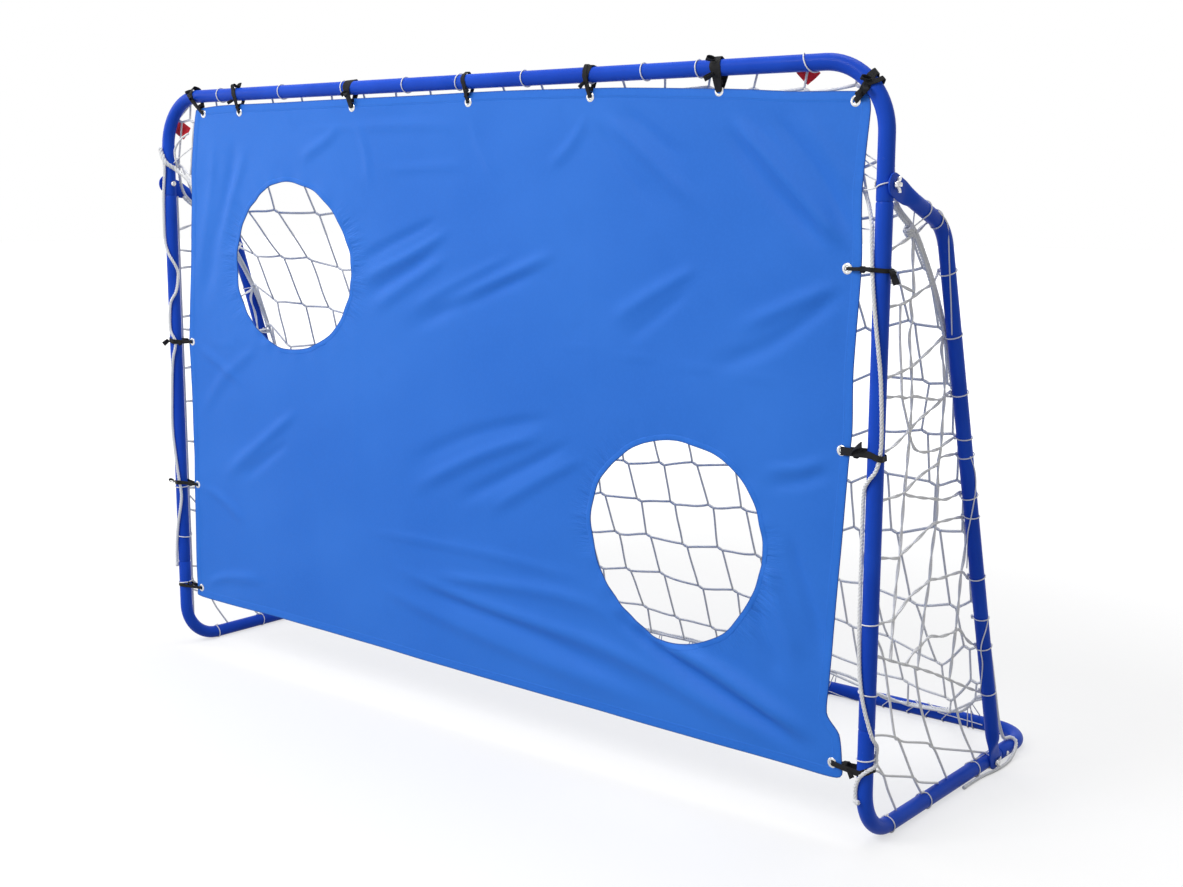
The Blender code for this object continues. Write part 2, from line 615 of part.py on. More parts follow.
def build_eyelets():
    """Two-flanged rings, one mesh used thirteen times."""
    rim = EYELET_DIAMETER / 2
    bore = EYELET_BORE / 2
    barrel = EYELET_BARREL / 2
    grip = SCREEN_THICKNESS / 2 + SEAT_GAP
    face = grip + EYELET_FLANGE
    profile = [(bore, face), (rim, grip), (barrel, grip), (barrel, -grip), (rim, -grip), (bore, -face), (bore, face)]
    first = turned("eyelet_01", profile, EYELET_SIDES, NICKEL)
    settle(first)
    weld(first.data)
    smooth(first, 50)
    for index, (eyelet, tube) in enumerate(eyelet_places()):
        ring = first if index == 0 else place(bpy.data.objects.new("eyelet_%02d" % (index + 1), first.data), NICKEL)
        aim(ring, (eyelet[0], POST_Y, eyelet[1]), (0, -1, 0))


def strap_loop(distance, clearance, offset):
    """A drop-shaped loop round the tube and through the eyelet, at an offset from its inner line."""
    big = TUBE_REACH + clearance + offset
    small = STRAP_BIGHT + offset
    lean = math.acos((big - small) / distance)
    points = []
    for step in range(STRAP_ARC_STEPS + 1):
        angle = lean + (2 * math.pi - 2 * lean) * step / STRAP_ARC_STEPS
        points.append((big * math.cos(angle), big * math.sin(angle)))
    for step in range(5):
        angle = -lean + 2 * lean * step / 4
        points.append((distance + small * math.cos(angle), small * math.sin(angle)))
    return points


def build_straps():
    """Loops of woven tape: each goes round its tube and through its eyelet."""
    for index, (eyelet, tube) in enumerate(eyelet_places()):
        tube = Vector((tube[0], POST_Y, tube[1]))
        eyelet = Vector((eyelet[0], POST_Y, eyelet[1]))
        toward = (eyelet - tube).normalized()
        bite = (eyelet - tube).length - STRAP_BIGHT_RISE
        on_bend = abs(toward.x) > 0.1 and abs(toward.z) > 0.1
        clearance = STRAP_CORNER_CLEARANCE if on_bend else STRAP_CLEARANCE
        outline = bpy.data.curves.new("strap", "CURVE")
        outline.dimensions = "2D"
        outline.fill_mode = "BOTH"
        outline.extrude = STRAP_WIDTH / 2
        for offset in (STRAP_THICKNESS, 0.0):
            points = strap_loop(bite, clearance, offset)
            spline = outline.splines.new("POLY")
            spline.points.add(len(points) - 1)
            for k, (along, through) in enumerate(points):
                spline.points[k].co = (along, through, 0, 1)
            spline.use_cyclic_u = True
        strap = place(bpy.data.objects.new("strap_%02d" % (index + 1), outline), BLACK_WEB)
        strap = settle(strap)
        weld(strap.data)
        reach = (eyelet - tube).length
        flare = TUBE_RADIUS + 0.004
        for vert in strap.data.vertices:
            share = min(1.0, max(0.0, (reach - 0.009 - vert.co.x) / (reach - 0.009 - flare)))
            narrow = STRAP_NARROW / STRAP_WIDTH
            vert.co.z *= narrow + (1 - narrow) * share
        side_axis = toward.cross(Vector((0, 1, 0)))
        frame = Matrix((toward, Vector((0, 1, 0)), side_axis)).transposed().to_4x4()
        strap.matrix_world = Matrix.Translation(tube) @ frame
        smooth(strap)


def net_top():
    """Where the net leaves the crossbar, as back distance and height."""
    return Vector((STRAP_REACH + TWINE_RADIUS + NET_CLEARANCE, BAR_Z - ROPE_BOW))


def net_corner_line():
    """The net's corner in side view, drawn in beside the stay, from the crossbar to its hem."""
    slope = [(FRAME_DEPTH * back, FRAME_HEIGHT * height) for back, height in NET_CORNER_SHARES]
    return [tuple(net_top())] + slope


def smooth_line(points, steps):
    """A smooth line through the points, steps to a span."""
    line = []
    last = len(points) - 1
    for index in range(last):
        p0 = Vector(points[max(index - 1, 0)])
        p1 = Vector(points[index])
        p2 = Vector(points[index + 1])
        p3 = Vector(points[min(index + 2, last)])
        for step in range(steps):
            t = step / steps
            line.append(0.5 * ((2 * p1) + (p2 - p0) * t + (2 * p0 - 5 * p1 + 4 * p2 - p3) * t * t
                               + (3 * p1 - p0 - 3 * p2 + p3) * t ** 3))
    line.append(Vector(points[last]))
    return line


def clip_to_cell(region, low, high):
    """The part of a region's outline that lies in one square cell."""
    polygon = list(region)
    for axis in (0, 1):
        for bound, keep_below in ((low[axis], False), (high[axis], True)):
            kept = []
            for first, second in zip(polygon, polygon[1:] + polygon[:1]):
                inside_first = (first[axis] <= bound) == keep_below or first[axis] == bound
                inside_second = (second[axis] <= bound) == keep_below or second[axis] == bound
                if inside_first:
                    kept.append(first)
                if inside_first != inside_second:
                    t = (bound - first[axis]) / (second[axis] - first[axis])
                    kept.append(tuple(first[k] + (second[k] - first[k]) * t for k in (0, 1)))
            polygon = kept
            if len(polygon) < 3:
                return []
    return polygon


def outline_area(polygon):
    total = 0.0
    for first, second in zip(polygon, polygon[1:] + polygon[:1]):
        total += first[0] * second[1] - second[0] * first[1]
    return abs(total) / 2


def net_panel(name, region, spot):
    """Square meshes clipped to a region, drawn as twine; spot turns a flat point into a place."""
    edit = bmesh.new()
    lows = [min(point[k] for point in region) for k in (0, 1)]
    highs = [max(point[k] for point in region) for k in (0, 1)]
    counts = [max(1, round((high - low) / NET_MESH)) for low, high in zip(lows, highs)]
    pitch = [(high - low) / count for low, high, count in zip(lows, highs, counts)]
    for column in range(counts[0]):
        for row in range(counts[1]):
            low = (lows[0] + column * pitch[0], lows[1] + row * pitch[1])
            high = (lows[0] + (column + 1) * pitch[0], lows[1] + (row + 1) * pitch[1])
            polygon = clip_to_cell(region, low, high)
            if polygon and outline_area(polygon) > 0.02 * pitch[0] * pitch[1]:
                corners = [edit.verts.new(spot(*point)) for point in polygon]
                edit.faces.new(corners)
    bmesh.ops.remove_doubles(edit, verts=edit.verts, dist=0.004)
    bmesh.ops.recalc_face_normals(edit, faces=edit.faces)
    panel = from_bmesh(name, edit, NET_TWINE)
    twine = panel.modifiers.new("twine", "WIREFRAME")
    twine.thickness = TWINE_THICKNESS
    twine.use_replace = True
    twine.use_boundary = True
    twine.use_even_offset = True
    twine.use_relative_offset = False
    settle(panel)
    weld(panel.data, 0.000001)
    return panel


def build_net():
    """A back panel from the crossbar down to its hem, and a panel on each side."""
    line = smooth_line(net_corner_line(), 3)
    lengths = [0.0]
    for first, second in zip(line, line[1:]):
        lengths.append(lengths[-1] + (second - first).length)
    margin = ROPE_REACH + TWINE_RADIUS + NET_CLEARANCE

    def along(length):
        for index in range(1, len(line)):
            if length <= lengths[index] or index == len(line) - 1:
                t = (length - lengths[index - 1]) / (lengths[index] - lengths[index - 1])
                return line[index - 1] + (line[index] - line[index - 1]) * t

    half = NET_SIDE_X - margin
    total = lengths[-1] - margin
    top, hem = net_top(), Vector((HEM_BACK, HEM_HEIGHT))

    def net_place(across, down):
        """Back distance and height: a flat slope in the middle that narrows to the corner line."""
        drawn_in = (abs(across) / half - NET_FLAT_SHARE) / (NET_DRAWN_IN_SHARE - NET_FLAT_SHARE)
        drawn_in = min(1.0, max(0.0, drawn_in))
        drawn_in *= drawn_in * (3 - 2 * drawn_in)
        middle = top + (hem - top) * (down / lengths[-1])
        return middle + (along(down) - middle) * drawn_in

    back_region = [(-half + NET_CORNER_CUT_ACROSS, 0), (half - NET_CORNER_CUT_ACROSS, 0), (half, NET_CORNER_CUT_DOWN),
                   (half, total), (-half, total), (-half, NET_CORNER_CUT_DOWN)]

    def back_spot(across, down):
        place_on_net = net_place(across, down)
        return (across, POST_Y + place_on_net.x, place_on_net.y)

    net_panel("net_back", back_region, back_spot)

    front = STRAP_REACH + TWINE_RADIUS + NET_CLEARANCE
    bottom = TUBE_DIAMETER + TWINE_RADIUS + NET_CLEARANCE
    rear_edge = []
    for index, point in enumerate(line):
        if point.y > NET_SIDE_TOP or point.x < front + 0.02:
            continue
        before = line[index - 1]
        after = line[min(index + 1, len(line) - 1)]
        run = (after - before).normalized()
        inward = Vector((run.y, -run.x))
        rear_edge.append(tuple(point + inward * margin))
    side_region = [(front, FOOT_BEND_RADIUS + TUBE_RADIUS), (front, NET_SIDE_TOP - 0.02)] + rear_edge
    side_region += [(rear_edge[-1][0], bottom), (front + FOOT_BEND_RADIUS, bottom)]
    for side, sign in SIDES.items():
        net_panel("net_side_" + side, side_region, lambda back, up, s=sign: (s * NET_SIDE_X, POST_Y + back, up))
    columns = round(2 * half / NET_MESH)
    rope_half = NET_SIDE_X - ROPE_REACH - NET_CLEARANCE - HEM_ROPE_SHORT
    hem_line = []
    for column in range(columns + 1):
        share = 2 * column / columns - 1
        if abs(share) > NET_FLAT_SHARE - 2 / columns:
            place_on_net = net_place(half * share, lengths[-1])
            across = math.copysign(rope_half, share) if abs(share) == 1 else half * share
            hem_line.append((across, POST_Y + place_on_net.x, place_on_net.y))
    build_ropes(line, hem_line)


def post_rope_points(sign):
    """A rope that wanders round the post: heights, and angles from the outer side toward the front."""
    waves = [Vector((FRAME_HEIGHT * share, angle)) for share, angle in POST_ROPE_SHARES]
    straps = RIGHT_EYELET_HEIGHTS if sign > 0 else LEFT_EYELET_HEIGHTS
    points = []
    for height, degrees in smooth_line(waves, 4):
        near = min(abs(height - strap) for strap in straps)
        rise = min(1.0, max(0.0, (0.045 - near) / 0.030))
        lift = (STRAP_THICKNESS + STRAP_CLEARANCE + NET_CLEARANCE) * rise * rise * (3 - 2 * rise)
        distance = TUBE_REACH + ROPE_REACH + NET_CLEARANCE + lift
        angle = math.radians(degrees)
        points.append((sign * (POST_X + distance * math.cos(angle)), POST_Y - distance * math.sin(angle), height))
    return points


def build_ropes(line, hem_line):
    """Edge ropes of the net: down each post, down each corner, and along the hem."""
    for side, sign in SIDES.items():
        swept("post_rope_" + side, post_rope_points(sign), ROPE_RADIUS, 1, EDGE_ROPE)
        start = next(index for index, point in enumerate(line) if point.x > TUBE_RADIUS + ROPE_RADIUS + 0.008)
        corner = [(sign * NET_SIDE_X, POST_Y + point.x, point.y) for point in line[start:]]
        knee_back, knee_height = CORNER_ROPE_KNEE_SHARES
        corner.append((sign * NET_SIDE_X, POST_Y + FRAME_DEPTH * knee_back, FRAME_HEIGHT * knee_height))
        for share in CORNER_ROPE_FOOT_SHARES:
            corner.append((sign * NET_SIDE_X, POST_Y + FRAME_DEPTH * share, TUBE_DIAMETER + ROPE_REACH + ROPE_SEAT))
        swept("corner_rope_" + side, corner, ROPE_RADIUS, 1, EDGE_ROPE)
    swept("hem_rope", hem_line, ROPE_RADIUS, 1, EDGE_ROPE)


def build_tags():
    """Red cloth tags that lie on the net's top corners."""
    (top_back, top_height), (low_back, low_height) = net_corner_line()[:2]
    slope = (low_back - top_back) / (top_height - low_height)
    lean = math.atan(slope)
    for side, sign in SIDES.items():
        across, height = FRAME_WIDTH / 2 - TAG_SIDE_INSETS[side], FRAME_HEIGHT - TAG_DROPS[side]
        back = top_back + (top_height - height) * slope
        stand_off = TWINE_RADIUS + 2 * NET_CLEARANCE + TAG_THICKNESS / 2
        edit = bmesh.new()
        bmesh.ops.create_cube(edit, size=1.0)
        bmesh.ops.scale(edit, vec=(TAG_SIZE, TAG_THICKNESS, TAG_SIZE), verts=edit.verts)
        tag = from_bmesh("corner_tag_" + side, edit, RED_TAG)
        tag.rotation_euler = (lean, 0, 0)
        tag.location = (sign * across, POST_Y + back + stand_off * math.cos(lean), height + stand_off * math.sin(lean))


build_frame()
build_stays()
build_fasteners()
build_screen()
build_eyelets()
build_straps()
build_net()
build_tags()
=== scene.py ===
import math
import random

import bpy
import numpy as np
from mathutils import Matrix, Vector
from mathutils.geometry import delaunay_2d_cdt


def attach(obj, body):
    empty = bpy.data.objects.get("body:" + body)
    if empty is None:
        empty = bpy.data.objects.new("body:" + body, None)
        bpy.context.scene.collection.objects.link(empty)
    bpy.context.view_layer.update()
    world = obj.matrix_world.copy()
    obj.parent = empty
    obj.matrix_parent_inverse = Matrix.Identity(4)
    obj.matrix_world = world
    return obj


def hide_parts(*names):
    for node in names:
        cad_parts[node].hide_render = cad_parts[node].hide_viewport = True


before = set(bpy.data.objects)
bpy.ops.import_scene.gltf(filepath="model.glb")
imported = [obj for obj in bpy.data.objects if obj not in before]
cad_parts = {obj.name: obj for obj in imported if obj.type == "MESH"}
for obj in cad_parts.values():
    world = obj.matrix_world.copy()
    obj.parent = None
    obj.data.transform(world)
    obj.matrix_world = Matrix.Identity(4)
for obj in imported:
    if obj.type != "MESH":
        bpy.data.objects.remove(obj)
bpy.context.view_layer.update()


def placed(name, data):
    """An object of the scene that holds the data."""
    obj = bpy.data.objects.new(name, data)
    bpy.context.scene.collection.objects.link(obj)
    return obj


# The camera stands to the right of the goal mouth at chest height and looks slightly down.
camera_place = Vector((2.424, -2.906, 1.2518))
yaw, pitch, roll = (math.radians(angle) for angle in (39.0, 9.324, 0.232))
ahead = Vector((-math.sin(yaw) * math.cos(pitch), math.cos(yaw) * math.cos(pitch), -math.sin(pitch)))
level = Vector((math.cos(yaw), math.sin(yaw), 0))
upright = level.cross(ahead)
camera_right = level * math.cos(roll) + upright * math.sin(roll)
camera_up = upright * math.cos(roll) - level * math.sin(roll)
camera = placed("camera", bpy.data.cameras.new("camera"))
camera.data.sensor_width = 36
camera.data.lens = 47.05
camera.matrix_world = (Matrix.Translation(camera_place)
                       @ Matrix((camera_right, camera_up, -ahead)).transposed().to_4x4())
bpy.context.scene.camera = camera

SIDES = {"left": -1, "right": 1}


# FRAME TUBES
# Round steel tube, bent cold and powder coated in deep blue. Each piece is necked at one end
# and pushed into the next, so the frame comes apart for storage.
TUBE = 0.016
BORE = 0.0147
SPIGOT = 0.0144
POST_X, POST_Y, REAR_Y = 1.059, -0.384, 0.384
BAR_Z, FLOOR_Z = 1.484, 0.016
HEAD_JOINT, FOOT_JOINT, SIDE_JOINT = 1.2335, 0.240, 0.216
TOP_BEND, FOOT_BEND, REAR_BEND = 0.130, 0.100, 0.080


class Tone:
    """A socket in a node tree. Arithmetic on tones adds the nodes for it."""

    def __init__(self, owner, socket):
        self.owner = owner
        self.socket = socket

    def maths(self, operation, first, second=0.0):
        return self.owner.node("ShaderNodeMath", {"operation": operation}, {0: first, 1: second})

    def __add__(self, other):
        return self.maths("ADD", self, other)

    def __sub__(self, other):
        return self.maths("SUBTRACT", self, other)

    def __rsub__(self, other):
        return self.maths("SUBTRACT", other, self)

    def __mul__(self, other):
        return self.maths("MULTIPLY", self, other)

    def __pow__(self, other):
        return self.maths("POWER", self, other)

    def __abs__(self):
        return self.maths("ABSOLUTE", self)

    __radd__ = __add__
    __rmul__ = __mul__

    def sine(self):
        return self.maths("SINE", self)

    def between(self, low, high):
        """0 below low, 1 above high and smooth in between."""
        limits = {"Value": self, "From Min": low, "From Max": high}
        return self.owner.node("ShaderNodeMapRange", {"interpolation_type": "SMOOTHSTEP"}, limits)


class Nodes:
    """A node tree that ends in one shader. Every other node is made by the same method."""

    def __init__(self, tree, shader):
        self.tree = tree
        self.shader = tree.nodes[shader]

    def node(self, kind, settings, sockets, output=0):
        made = self.tree.nodes.new(kind)
        for name, value in settings.items():
            setattr(made, name, value)
        for name, value in sockets.items():
            self.feed(made.inputs[name], value)
        return Tone(self, made.outputs[output])

    def feed(self, socket, value):
        if isinstance(value, Tone):
            self.tree.links.new(value.socket, socket)
        else:
            socket.default_value = value

    def show(self, socket, value):
        self.feed(self.shader.inputs[socket], value)

    def place(self, output="Object"):
        return self.node("ShaderNodeTexCoord", {}, {}, output)

    def axis(self, vector, name):
        return self.node("ShaderNodeSeparateXYZ", {}, {"Vector": vector}, name)

    def ray(self, kind):
        return self.node("ShaderNodeLightPath", {}, {}, kind)


class Finish(Nodes):
    """A procedural material. Its constants are set straight on the shader."""

    def __init__(self, name, constants):
        self.material = bpy.data.materials.new(name)
        self.material.use_nodes = True
        super().__init__(self.material.node_tree, "Principled BSDF")
        for socket, value in constants.items():
            self.show(socket, value)

    def cloud(self, scale, detail=2.0, place=None, roughness=0.5):
        place = place or self.place()
        sockets = {"Vector": place, "Scale": scale, "Detail": detail, "Roughness": roughness}
        return self.node("ShaderNodeTexNoise", {}, sockets)

    def blend(self, share, first, second):
        """Mixes two colours. In a colour mix the inputs 6 and 7 and the output 2 carry colours."""
        sockets = {0: share}
        for socket, colour in ((6, first), (7, second)):
            sockets[socket] = (*colour, 1) if isinstance(colour, tuple) else colour
        return self.node("ShaderNodeMix", {"data_type": "RGBA"}, sockets, 2)

    def relief(self, height, distance):
        self.show("Normal", self.node("ShaderNodeBump", {}, {"Height": height, "Distance": distance}))


def unit(vector):
    vector = np.asarray(vector, float)
    return vector / np.linalg.norm(vector)


def ring_faces(count, sides, closed=False):
    """Quads that join count rings of so many points, one after the other."""
    faces = []
    for ring in range(count if closed else count - 1):
        here, there = ring * sides, (ring + 1) % count * sides
        for k in range(sides):
            n = (k + 1) % sides
            faces.append((here + k, here + n, there + n, there + k))
    return faces


def pipe_faces(count, sides):
    """The quads of a pipe and a face over each of its ends."""
    last = (count - 1) * sides
    return ring_faces(count, sides) + [tuple(reversed(range(sides))), tuple(range(last, last + sides))]


def mesh_of(name, points, faces):
    mesh = bpy.data.meshes.new(name)
    mesh.from_pydata([tuple(map(float, point)) for point in points], [], faces)
    return mesh


def piece(name, points, faces, finish, replaced=(), body="frame", uv=None, sharp=None):
    """A mesh piece that rides on its body and stands for the named solids."""
    mesh = mesh_of(name, points, faces)
    mesh.polygons.foreach_set("use_smooth", [True] * len(mesh.polygons))
    if uv is not None:
        layer = mesh.uv_layers.new(name="weave")
        corners = np.zeros(len(mesh.loops), int)
        mesh.loops.foreach_get("vertex_index", corners)
        layer.data.foreach_set("uv", np.asarray(uv, np.float32)[corners].ravel())
    if sharp:
        mesh.set_sharp_from_angle(angle=math.radians(sharp))
    mesh.update()
    obj = placed(name, mesh)
    mesh.materials.append(finish.material)
    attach(obj, body)
    if replaced:
        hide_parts(*replaced)
    return obj


def bent_run(corners, bend, steps=18):
    """Points and directions along a line whose corners are rounded."""
    line = []
    for before, corner, after in zip(corners, corners[1:], corners[2:]):
        arrive, leave = unit(corner - before), unit(after - corner)
        turn = math.acos(float(np.clip(arrive @ leave, -1, 1)))
        outward = unit(leave - arrive * (arrive @ leave))
        start = corner - arrive * bend * math.tan(turn / 2)
        for step in range(steps + 1):
            angle = turn * step / steps
            point = start + outward * bend * (1 - math.cos(angle)) + arrive * bend * math.sin(angle)
            line.append((point, arrive * math.cos(angle) + outward * math.sin(angle)))
    return line


def tube_mesh(corners, bend, first_end, last_end, across, sides=40):
    """A bent pipe. Each end lists how far inward from its corner a ring stands, and its radius."""
    corners = [np.array(corner, float) for corner in corners]
    out, into = unit(corners[1] - corners[0]), unit(corners[-1] - corners[-2])
    rings = [(corners[0] + out * inward, out, radius) for inward, radius in reversed(first_end)]
    rings += [(point, run, TUBE) for point, run in bent_run(corners, bend)]
    rings += [(corners[-1] - into * inward, into, radius) for inward, radius in last_end]
    across = np.array(across, float)
    points = []
    for middle, run, radius in rings:
        up = np.cross(run, across)
        for side in range(sides):
            angle = 2 * math.pi * side / sides
            points.append(middle + radius * (math.cos(angle) * across + math.sin(angle) * up))
    return points, pipe_faces(len(rings), sides)


# Tube ends as (distance inward from the joint, radius) rings: an open mouth with its bore, and a
# neck that goes on into the next tube.
SOCKET_END = [(0.05, TUBE), (0.0010, TUBE), (0.0003, TUBE - 0.0002), (0.0, TUBE - 0.0006),
              (0.0, BORE + 0.0003), (0.0006, BORE), (0.057, BORE)]
NECKED_END = [(0.05, TUBE), (0.0046, TUBE), (0.0036, TUBE - 0.0003), (0.0012, SPIGOT + 0.0004),
              (0.0, SPIGOT), (-0.053, SPIGOT), (-0.0548, SPIGOT - 0.0012)]

paint = Finish("blue_powder_coat", {"Specular IOR Level": 0.07, "Coat Roughness": 0.10})
drift = paint.cloud(5.0, 3.0)
speckle = paint.cloud(900.0, 2.0)
rubbed = paint.cloud(46.0, 6.0, roughness=0.62).between(0.66, 0.78)
blue = paint.blend(drift.between(0.3, 0.7), (0.0080, 0.060, 0.500), (0.0130, 0.080, 0.590))
blue = paint.blend(rubbed * 0.22, blue, (0.090, 0.180, 0.620))
paint.show("Base Color", paint.blend(speckle.between(0.62, 0.75) * 0.16, blue, (0.040, 0.110, 0.580)))
paint.show("Roughness", 0.36 + paint.cloud(30.0, 4.0) * 0.10 + rubbed * 0.14)
paint.show("Coat Weight", 0.035 - rubbed * 0.025)
paint.relief(paint.cloud(420.0, 2.0) * 0.7 + speckle * 0.3 - rubbed * 0.5, 0.00016)

for side, sign in SIDES.items():
    x = sign * POST_X
    middle_end = NECKED_END if side == "left" else SOCKET_END
    for name, corners, bend, first_end, last_end, across in (
            ("top_bar", [(0, POST_Y, BAR_Z), (x, POST_Y, BAR_Z), (x, POST_Y, HEAD_JOINT)],
             TOP_BEND, middle_end, SOCKET_END, (0, 1, 0)),
            ("post", [(x, POST_Y, FOOT_JOINT), (x, POST_Y, HEAD_JOINT)],
             0.0, SOCKET_END, NECKED_END, (1, 0, 0)),
            ("ground_bar", [(x, POST_Y, FOOT_JOINT), (x, POST_Y, FLOOR_Z), (x, SIDE_JOINT, FLOOR_Z)],
             FOOT_BEND, NECKED_END, NECKED_END, (1, 0, 0)),
            ("rear_bar", [(x, SIDE_JOINT, FLOOR_Z), (x, REAR_Y, FLOOR_Z), (0, REAR_Y, FLOOR_Z)],
             REAR_BEND, SOCKET_END, middle_end, (0, 0, 1))):
        points, faces = tube_mesh(corners, bend, first_end, last_end, across)
        node = "%s_%s" % (name, side)
        piece("painted_" + node, points, faces, paint, [node], sharp=50)


# BACK STAYS
# The same coated tube, bent once and pressed flat at both ends where the bolts go through.
# Each stands outside the net and swings up round its upper bolt when the goal is folded.
STAY = 0.015
STAY_X = 1.0772
PIVOT = (POST_Y, 1.263)
STAY_BEND = (POST_Y + 0.202, 1.186)
STAY_FOOT = (POST_Y + 0.553, FLOOR_Z)
STAY_BEND_RADIUS = 0.085
TAB_HALF_WIDTH, TAB_HALF_THICKNESS = 0.022, 0.0019
PIVOT_NOSE, PIVOT_FLAT = 0.020, 0.030
FOOT_NOSE, FOOT_FLAT = 0.0145, 0.018
FLATTENING = 0.055
STAY_SIDES = 36
BOLT = 0.004


def pressed_section(flatness, width_share):
    """A section between a round tube and a tube end pressed flat, as (thickness, width) points."""
    section = []
    for k in range(STAY_SIDES):
        c, s = math.cos(2 * math.pi * k / STAY_SIDES), math.sin(2 * math.pi * k / STAY_SIDES)
        thick = math.copysign(abs(c) ** 0.28, c) * TAB_HALF_THICKNESS
        wide = math.copysign(abs(s) ** 0.80, s) * TAB_HALF_WIDTH * width_share
        section.append((STAY * c + (thick - STAY * c) * flatness, STAY * s + (wide - STAY * s) * flatness))
    return section


def stay_rings(sign):
    """The stay's points, ring after ring from its upper nose to its lower one, and the count of rings."""
    pivot, bend, foot = (np.array((0.0, *place)) for place in (PIVOT, STAY_BEND, STAY_FOOT))
    groups = []
    for end, nose, flat in ((pivot, PIVOT_NOSE, PIVOT_FLAT), (foot, FOOT_NOSE, FOOT_FLAT)):
        run = unit(bend - end)
        group = [(end + run * nose * share, run, 1.0, math.sqrt(1 - share * share))
                 for share in (-0.997, -0.97, -0.90, -0.78, -0.60, -0.38, -0.15, 0.0)]
        for step in range(13):
            share = step / 12
            ease = share * share * share * (share * (share * 6 - 15) + 10)
            group.append((end + run * (flat + FLATTENING * share), run, 1 - ease, 1.0))
        groups.append(group)
    bend_rings = [(point, run, 0.0, 1.0)
                  for point, run in bent_run([pivot, bend, foot], STAY_BEND_RADIUS, 14)]
    tail = [(point, -run, flatness, width) for point, run, flatness, width in reversed(groups[1])]
    rings = groups[0] + bend_rings + tail
    points = []
    for middle, run, flatness, width in rings:
        across = np.array((0.0, -run[2], run[1]))
        for thick, wide in pressed_section(flatness, width):
            points.append(middle + np.array((sign * (STAY_X + thick), 0, 0)) + across * wide)
    return points, len(rings)


def drilled(obj, places, radius):
    """Bores round holes along X through a piece."""
    sides, reach = 28, 0.03
    turns = [2 * math.pi * k / sides for k in range(sides)]
    for x, y, z in places:
        points = [(x + end, y + radius * math.cos(a), z + radius * math.sin(a))
                  for end in (-reach, reach) for a in turns]
        faces = ring_faces(2, sides) + [tuple(range(sides)), tuple(reversed(range(sides, 2 * sides)))]
        drill = placed("drill", mesh_of("drill", points, faces))
        modifier = obj.modifiers.new("drill", "BOOLEAN")
        modifier.solver = "EXACT"
        modifier.object = drill
        bpy.context.view_layer.update()
        cut = obj.evaluated_get(bpy.context.evaluated_depsgraph_get())
        drilled_mesh = bpy.data.meshes.new_from_object(cut)
        obj.modifiers.clear()
        obj.data = drilled_mesh
        bpy.data.objects.remove(drill)


for side, sign in SIDES.items():
    points, count = stay_rings(sign)
    faces = pipe_faces(count, STAY_SIDES)
    if sign > 0:
        faces = [tuple(reversed(face)) for face in faces]
    stay = piece("painted_stay_" + side, points, faces, paint, ["stay_" + side],
                 body="stay_%s_body" % side, sharp=55)
    drilled(stay, [(sign * STAY_X, *PIVOT), (sign * STAY_X, *STAY_FOOT)], BOLT + 0.0004)


# BOLTS, WING NUTS AND SCREWS
# Bright plated steel: dome-headed bolts from the inner side, cast wing nuts on the outside,
# and one self-tapping screw through each rear joint.
INNER_FACE = POST_X - TUBE - 0.0003
OUTER_FACE = STAY_X + TAB_HALF_THICKNESS + 0.0003
DOME_RADIUS, DOME_HEIGHT = 0.0073, 0.0050
THREAD_PITCH = 0.00125
NUT_HEIGHT, BOLT_PAST_NUT = 0.0086, 0.0040
FOOT_STUB = 0.0041
SCREW_Y = POST_Y + 0.622

plate = Finish("bright_plating", {"Metallic": 1.0})
tarnish = plate.cloud(140.0, 5.0).between(0.45, 0.75)
plate.show("Base Color", plate.blend(tarnish * 0.6, (0.640, 0.635, 0.625), (0.400, 0.390, 0.375)))
plate.show("Roughness", 0.20 + tarnish * 0.22)
plate.relief(plate.cloud(1500.0, 2.0), 0.00006)


def lathed(profile, sides, place, axis):
    """Turns a (radius, height) profile about an axis through a place."""
    axis = unit(axis)
    first = unit(np.cross(axis, (0.3, 0.2, 0.9) if abs(axis[2]) < 0.9 else (1, 0, 0)))
    second = np.cross(axis, first)
    points = []
    for radius, height in profile:
        for k in range(sides):
            angle = 2 * math.pi * k / sides
            points.append(np.array(place) + axis * height
                          + max(radius, 0.00002) * (math.cos(angle) * first + math.sin(angle) * second))
    return points, pipe_faces(len(profile), sides)


def bolt_profile(reach, threaded):
    """Dome head outward at height 0, then a shank that runs inward and ends in thread."""
    rise = np.linspace(0.02, math.pi / 2, 9)
    head = [(DOME_RADIUS * math.sin(a), DOME_HEIGHT * math.cos(a)) for a in rise]
    head += [(DOME_RADIUS, 0.0), (BOLT, 0.0)]
    plain = reach - threaded
    shank = [(BOLT, -plain)]
    for turn in range(int(threaded / THREAD_PITCH)):
        top = plain + turn * THREAD_PITCH
        shank += [(BOLT - 0.0007, -(top + 0.0006)), (BOLT - 0.00005, -(top + 0.0012))]
    shank += [(BOLT - 0.0008, -reach)]
    return head + shank


def wing_rings(wing):
    """One wing of a cast nut, as rings from the hub out to its rounded tip."""
    stations, sides = 12, 20
    points = []
    for step in range(stations):
        t = step / (stations - 1)
        centre = np.array((wing * (0.0042 + 0.0100 * t), 0, 0.0034 + 0.0086 * t ** 1.25))
        lean = math.radians(48 + 12 * t)
        rounding = math.sqrt(max(0.02, 1 - max(0, (t - 0.62) / 0.38) ** 2))
        breadth = (0.0034 + 0.0016 * math.sin(math.pi * min(1, t * 1.1))) * rounding
        thick = (0.0015 - 0.0004 * t) * (1.0 if t < 0.9 else 0.75)
        across = np.array((-wing * math.sin(lean), 0, math.cos(lean)))
        for k in range(sides):
            angle = 2 * math.pi * k / sides
            points.append(centre + across * breadth * math.cos(angle)
                          + np.array((0, thick * math.sin(angle), 0)))
    return points, pipe_faces(stations, sides)


